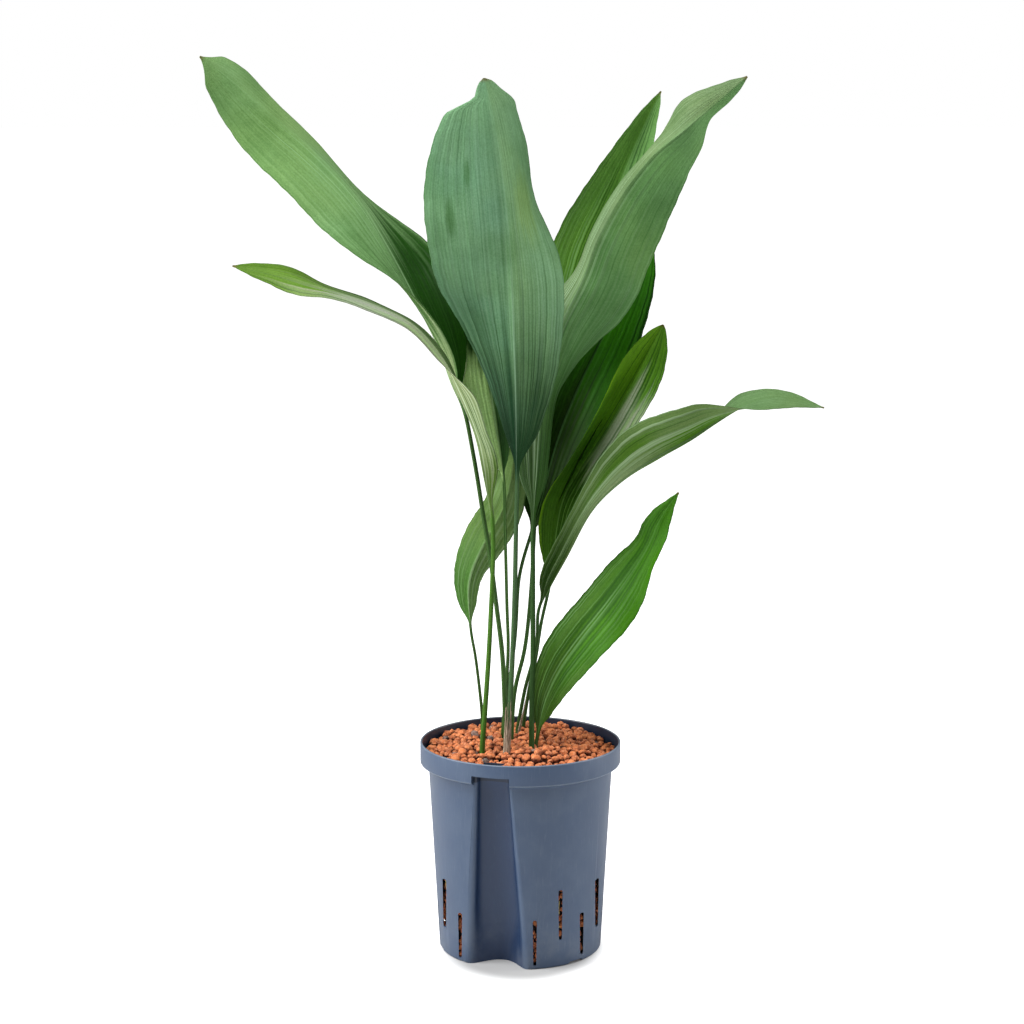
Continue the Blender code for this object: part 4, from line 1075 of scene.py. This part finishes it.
def make_granules():
    """Two beds of loose granules on the heap, the lower one darkened as painted shade, more behind the slots,
    and a dark core that fills the pot.
    """
    fine, coarse = granule_shapes(3), granule_shapes(2)
    stalks = [(leaf["stalk"][0][0] * MM, leaf["stalk"][0][1] * MM, leaf["radius"] * MM)
              for leaf in LEAVES.values()]
    draw = random.Random(11)
    top, below = [spread(draw, tries, surface_place(depth, stalks), space)
                  for tries, depth, space in (TOP_BED, BELOW_BED)]
    top += [(on_pot(along, out, height), radius) for along, out, height, radius in WEDGED_GRANULES]
    sides = []
    for slot in slot_places():
        sides += spread(draw, SLOT_BED[0], slot_place(*slot), SLOT_BED[1])
    odd = [place for place in top if draw.random() < GREY_SHARE]
    plain = [place for place in top if place not in odd]
    half = len(plain) // 2
    clay = {name: clay_material(name, *colours) for name, colours in CLAYS.items()}
    granule_piece("granules_top_a", plain[:half], fine, clay["clay_terracotta"], 21)
    granule_piece("granules_top_b", plain[half:], fine, clay["clay_terracotta"], 22)
    granule_piece("granules_odd", odd, fine, clay["clay_grey"], 23)
    # The lower bed is painted shade: the same clay made dark.
    granule_piece("granules_below", below, coarse, clay["clay_deep_shade"], 24)
    granule_piece("granules_behind_slots", sides, coarse, clay["clay_damp"], 25)
    profile = rounded([(BASE_RADIUS - 0.012, 0.004, 0), (BASE_RADIUS - 0.0062, 0.004, 0.002),
                       (BODY_TOP_RADIUS - 0.0062, BAND - 0.002, 0.002),
                       (RIM_RADIUS - 0.014, SURFACE - 0.012, 0)])
    # The core is painted shade: a near-black solid standing in for the shadowed depths of the fill.
    core = turned("granule_core", profile, 96)
    cut(core, channel_solid("clear", (-0.001, BAND, CHANNEL_WALL_TOP), WALL + 0.004, beyond_wall))
    dress(core, plain_material("clay_shadow", (0.010, 0.006, 0.005), (0.045, 0.018, 0.010), 260.0, 0.95))
    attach(core, "root")
    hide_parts("clay_granules")


# Roots and sheaths

def tube_piece(name, routes, radius, material, sides=8):
    """Thin round tubes along smooth routes, fused in one piece."""
    points, faces = [], []
    for route in routes:
        line = through(route, 10)
        ahead = np.gradient(line, axis=0)
        ahead /= np.linalg.norm(ahead, axis=1)[:, None]
        side = np.cross(ahead, (0.3, 0.9, 0.2))
        side /= np.linalg.norm(side, axis=1)[:, None]
        other = np.cross(ahead, side)
        faces += ring_faces(len(points), sides, len(line))
        for centre, u, v in zip(line, side, other):
            for j in range(sides):
                angle = 2 * pi * j / sides
                points.append(centre + (u * cos(angle) + v * sin(angle)) * radius)
    thing = finish_piece(name, points, faces, [material])
    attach(thing, "root")
    return thing


def make_rootlets():
    """Pale thin roots that have grown along the inside of the wall, behind some slots."""
    draw = random.Random(31)
    routes = []
    for k, (angle, low, high) in enumerate(slot_places()):
        if k % 3 == 0 or high == HIGH_SLOT[1]:
            for _ in range(2):
                top = draw.uniform(low + 0.6 * (high - low), high + 0.004)
                drift = draw.uniform(-0.002, 0.002)
                route = []
                for j in range(6):
                    height = max(top - j * draw.uniform(0.004, 0.007), WALL + 0.002)
                    drift += draw.uniform(-0.0016, 0.0016)
                    out = body_radius(height) - WALL - 2 * ROOTLET_RADIUS - draw.uniform(0, 0.0004)
                    route.append(tuple(on_pot(drift, out, height, angle)))
                routes.append(route)
    material = plain_material("rootlet", (0.42, 0.30, 0.07), (0.62, 0.50, 0.20), 300.0, 0.7)
    tube_piece("rootlets", routes, ROOTLET_RADIUS, material)


def make_sheath(name, stalk_name, high, direction, wrap, seed):
    """Papery ragged fibres wrapped round the foot of a stalk."""
    leaf = LEAVES[stalk_name]
    line = leaf_line(leaf)[0][:, :3] * MM
    inner = leaf["radius"] * MM + SHEATH_GAP
    draw = random.Random(seed)
    notch = [draw.uniform(0.55, 1.0) for _ in range(SHEATH_NOTCHES)]
    points = []
    for level in range(SHEATH_LEVELS + 1):
        for radius in (inner + SHEATH_THICKNESS, inner):
            for k in range(SHEATH_STEPS + 1):
                tear = notch[int(k / (SHEATH_STEPS + 1) * SHEATH_NOTCHES)]
                share = level / SHEATH_LEVELS * tear * (0.8 + 0.2 * sin(k * 1.9 + seed))
                height = between((SHEATH_FOOT, high), share)
                centre = Vector((np.interp(height, line[:, 2], line[:, 0]),
                                 np.interp(height, line[:, 2], line[:, 1]), 0))
                span = radians(wrap) * (1 - 0.45 * share)
                angle = radians(direction) + span * (k / SHEATH_STEPS - 0.5) + pi
                flared = radius + 0.0007 * share ** 2 + 0.00025 * sin(k * 2.1 + level * 0.3)
                points.append(centre + Vector((flared * cos(angle), flared * sin(angle), height)))
    material = plain_material(name + "_paper", (0.10, 0.065, 0.035), (0.62, 0.50, 0.37), 90.0, 0.85,
                              (22, 22, 1.4), 0.8)
    faces = np.concatenate(skin_faces(SHEATH_LEVELS + 1, SHEATH_STEPS + 1)).tolist()
    thing = finish_piece(name + "_fine", points, faces, [material], 50)
    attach(thing, "root")
    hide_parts(name)


# Studio

def area_light(name, position, target, size, power):
    data = bpy.data.lights.new(name, "AREA")
    data.shape = "RECTANGLE"
    data.size, data.size_y = size
    data.energy = power
    lamp = linked(name, data)
    lamp.location = position
    lamp.rotation_euler = (Vector(target) - Vector(position)).to_track_quat("-Z", "Y").to_euler()


def floor_material():
    """White paper: to the camera it glows, less so by the pot, and it is greyer there too: a painted soft
    contact shadow.
    """
    n = Nodes("floor_white")
    far = n.length(n.mapped(n.object_coords(), *FLOOR_OVAL))
    seen = n.add("LightPath").outputs["Is Camera Ray"]
    return n.shade(Base_Color=n.mix(n.ramp(far, *FLOOR_SHADE), *PAPER_SHADOW_GREYS), Roughness=0.9,
                   Emission_Color=(1, 1, 1, 1), Emission_Strength=n.times(n.ramp(far, *FLOOR_GLOW), seen))


def make_studio():
    """A white floor, a white backdrop that lights the plant only softly, and three area lights."""
    corners = [(x * FLOOR_HALF, y * FLOOR_HALF, 0) for x, y in ((-1, -1), (1, -1), (1, 1), (-1, 1))]
    floor = finish_piece("floor", corners, [(0, 1, 2, 3)], [floor_material()])
    world = bpy.data.worlds.new("studio")
    bpy.context.scene.world = world
    world.use_nodes = True
    tree = world.node_tree
    backdrop = tree.nodes["Background"]
    daylight = tree.nodes.new("ShaderNodeBackground")
    for light, strength in ((backdrop, 1.0), (daylight, DAYLIGHT)):
        light.inputs["Color"].default_value = (1, 1, 1, 1)
        light.inputs["Strength"].default_value = strength
    rays = tree.nodes.new("ShaderNodeLightPath")
    either = tree.nodes.new("ShaderNodeMixShader")
    tree.links.new(rays.outputs["Is Camera Ray"], either.inputs[0])
    tree.links.new(daylight.outputs[0], either.inputs[1])
    tree.links.new(backdrop.outputs[0], either.inputs[2])
    tree.links.new(either.outputs[0], tree.nodes["World Output"].inputs["Surface"])
    for light in LIGHTS:
        area_light(*light)
    bpy.context.scene.view_settings.view_transform = "Standard"


def make_camera():
    data = bpy.data.cameras.new("camera")
    data.lens = CAMERA_LENS
    data.sensor_width = 36.0
    data.clip_start, data.clip_end = 0.05, 100
    camera = linked("camera", data)
    camera.location = CAMERA_PLACE
    camera.rotation_euler = (CAMERA_TILT, 0, 0)
    bpy.context.scene.camera = camera


def main():
    make_camera()
    make_studio()
    make_pot()
    make_granules()
    make_rootlets()
    make_sheath("dry_sheath_centre", "leaf_centre", 0.240, 40, 250, 3)
    make_sheath("dry_sheath_right", "leaf_arching_right", 0.225, 200, 230, 8)
    for name, leaf in LEAVES.items():
        make_leaf(name, leaf)
    bark = plain_material("rhizome_bark", (0.20, 0.13, 0.06), (0.42, 0.30, 0.14), 200.0, 0.85)
    dress(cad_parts["rhizome"], bark)


main()
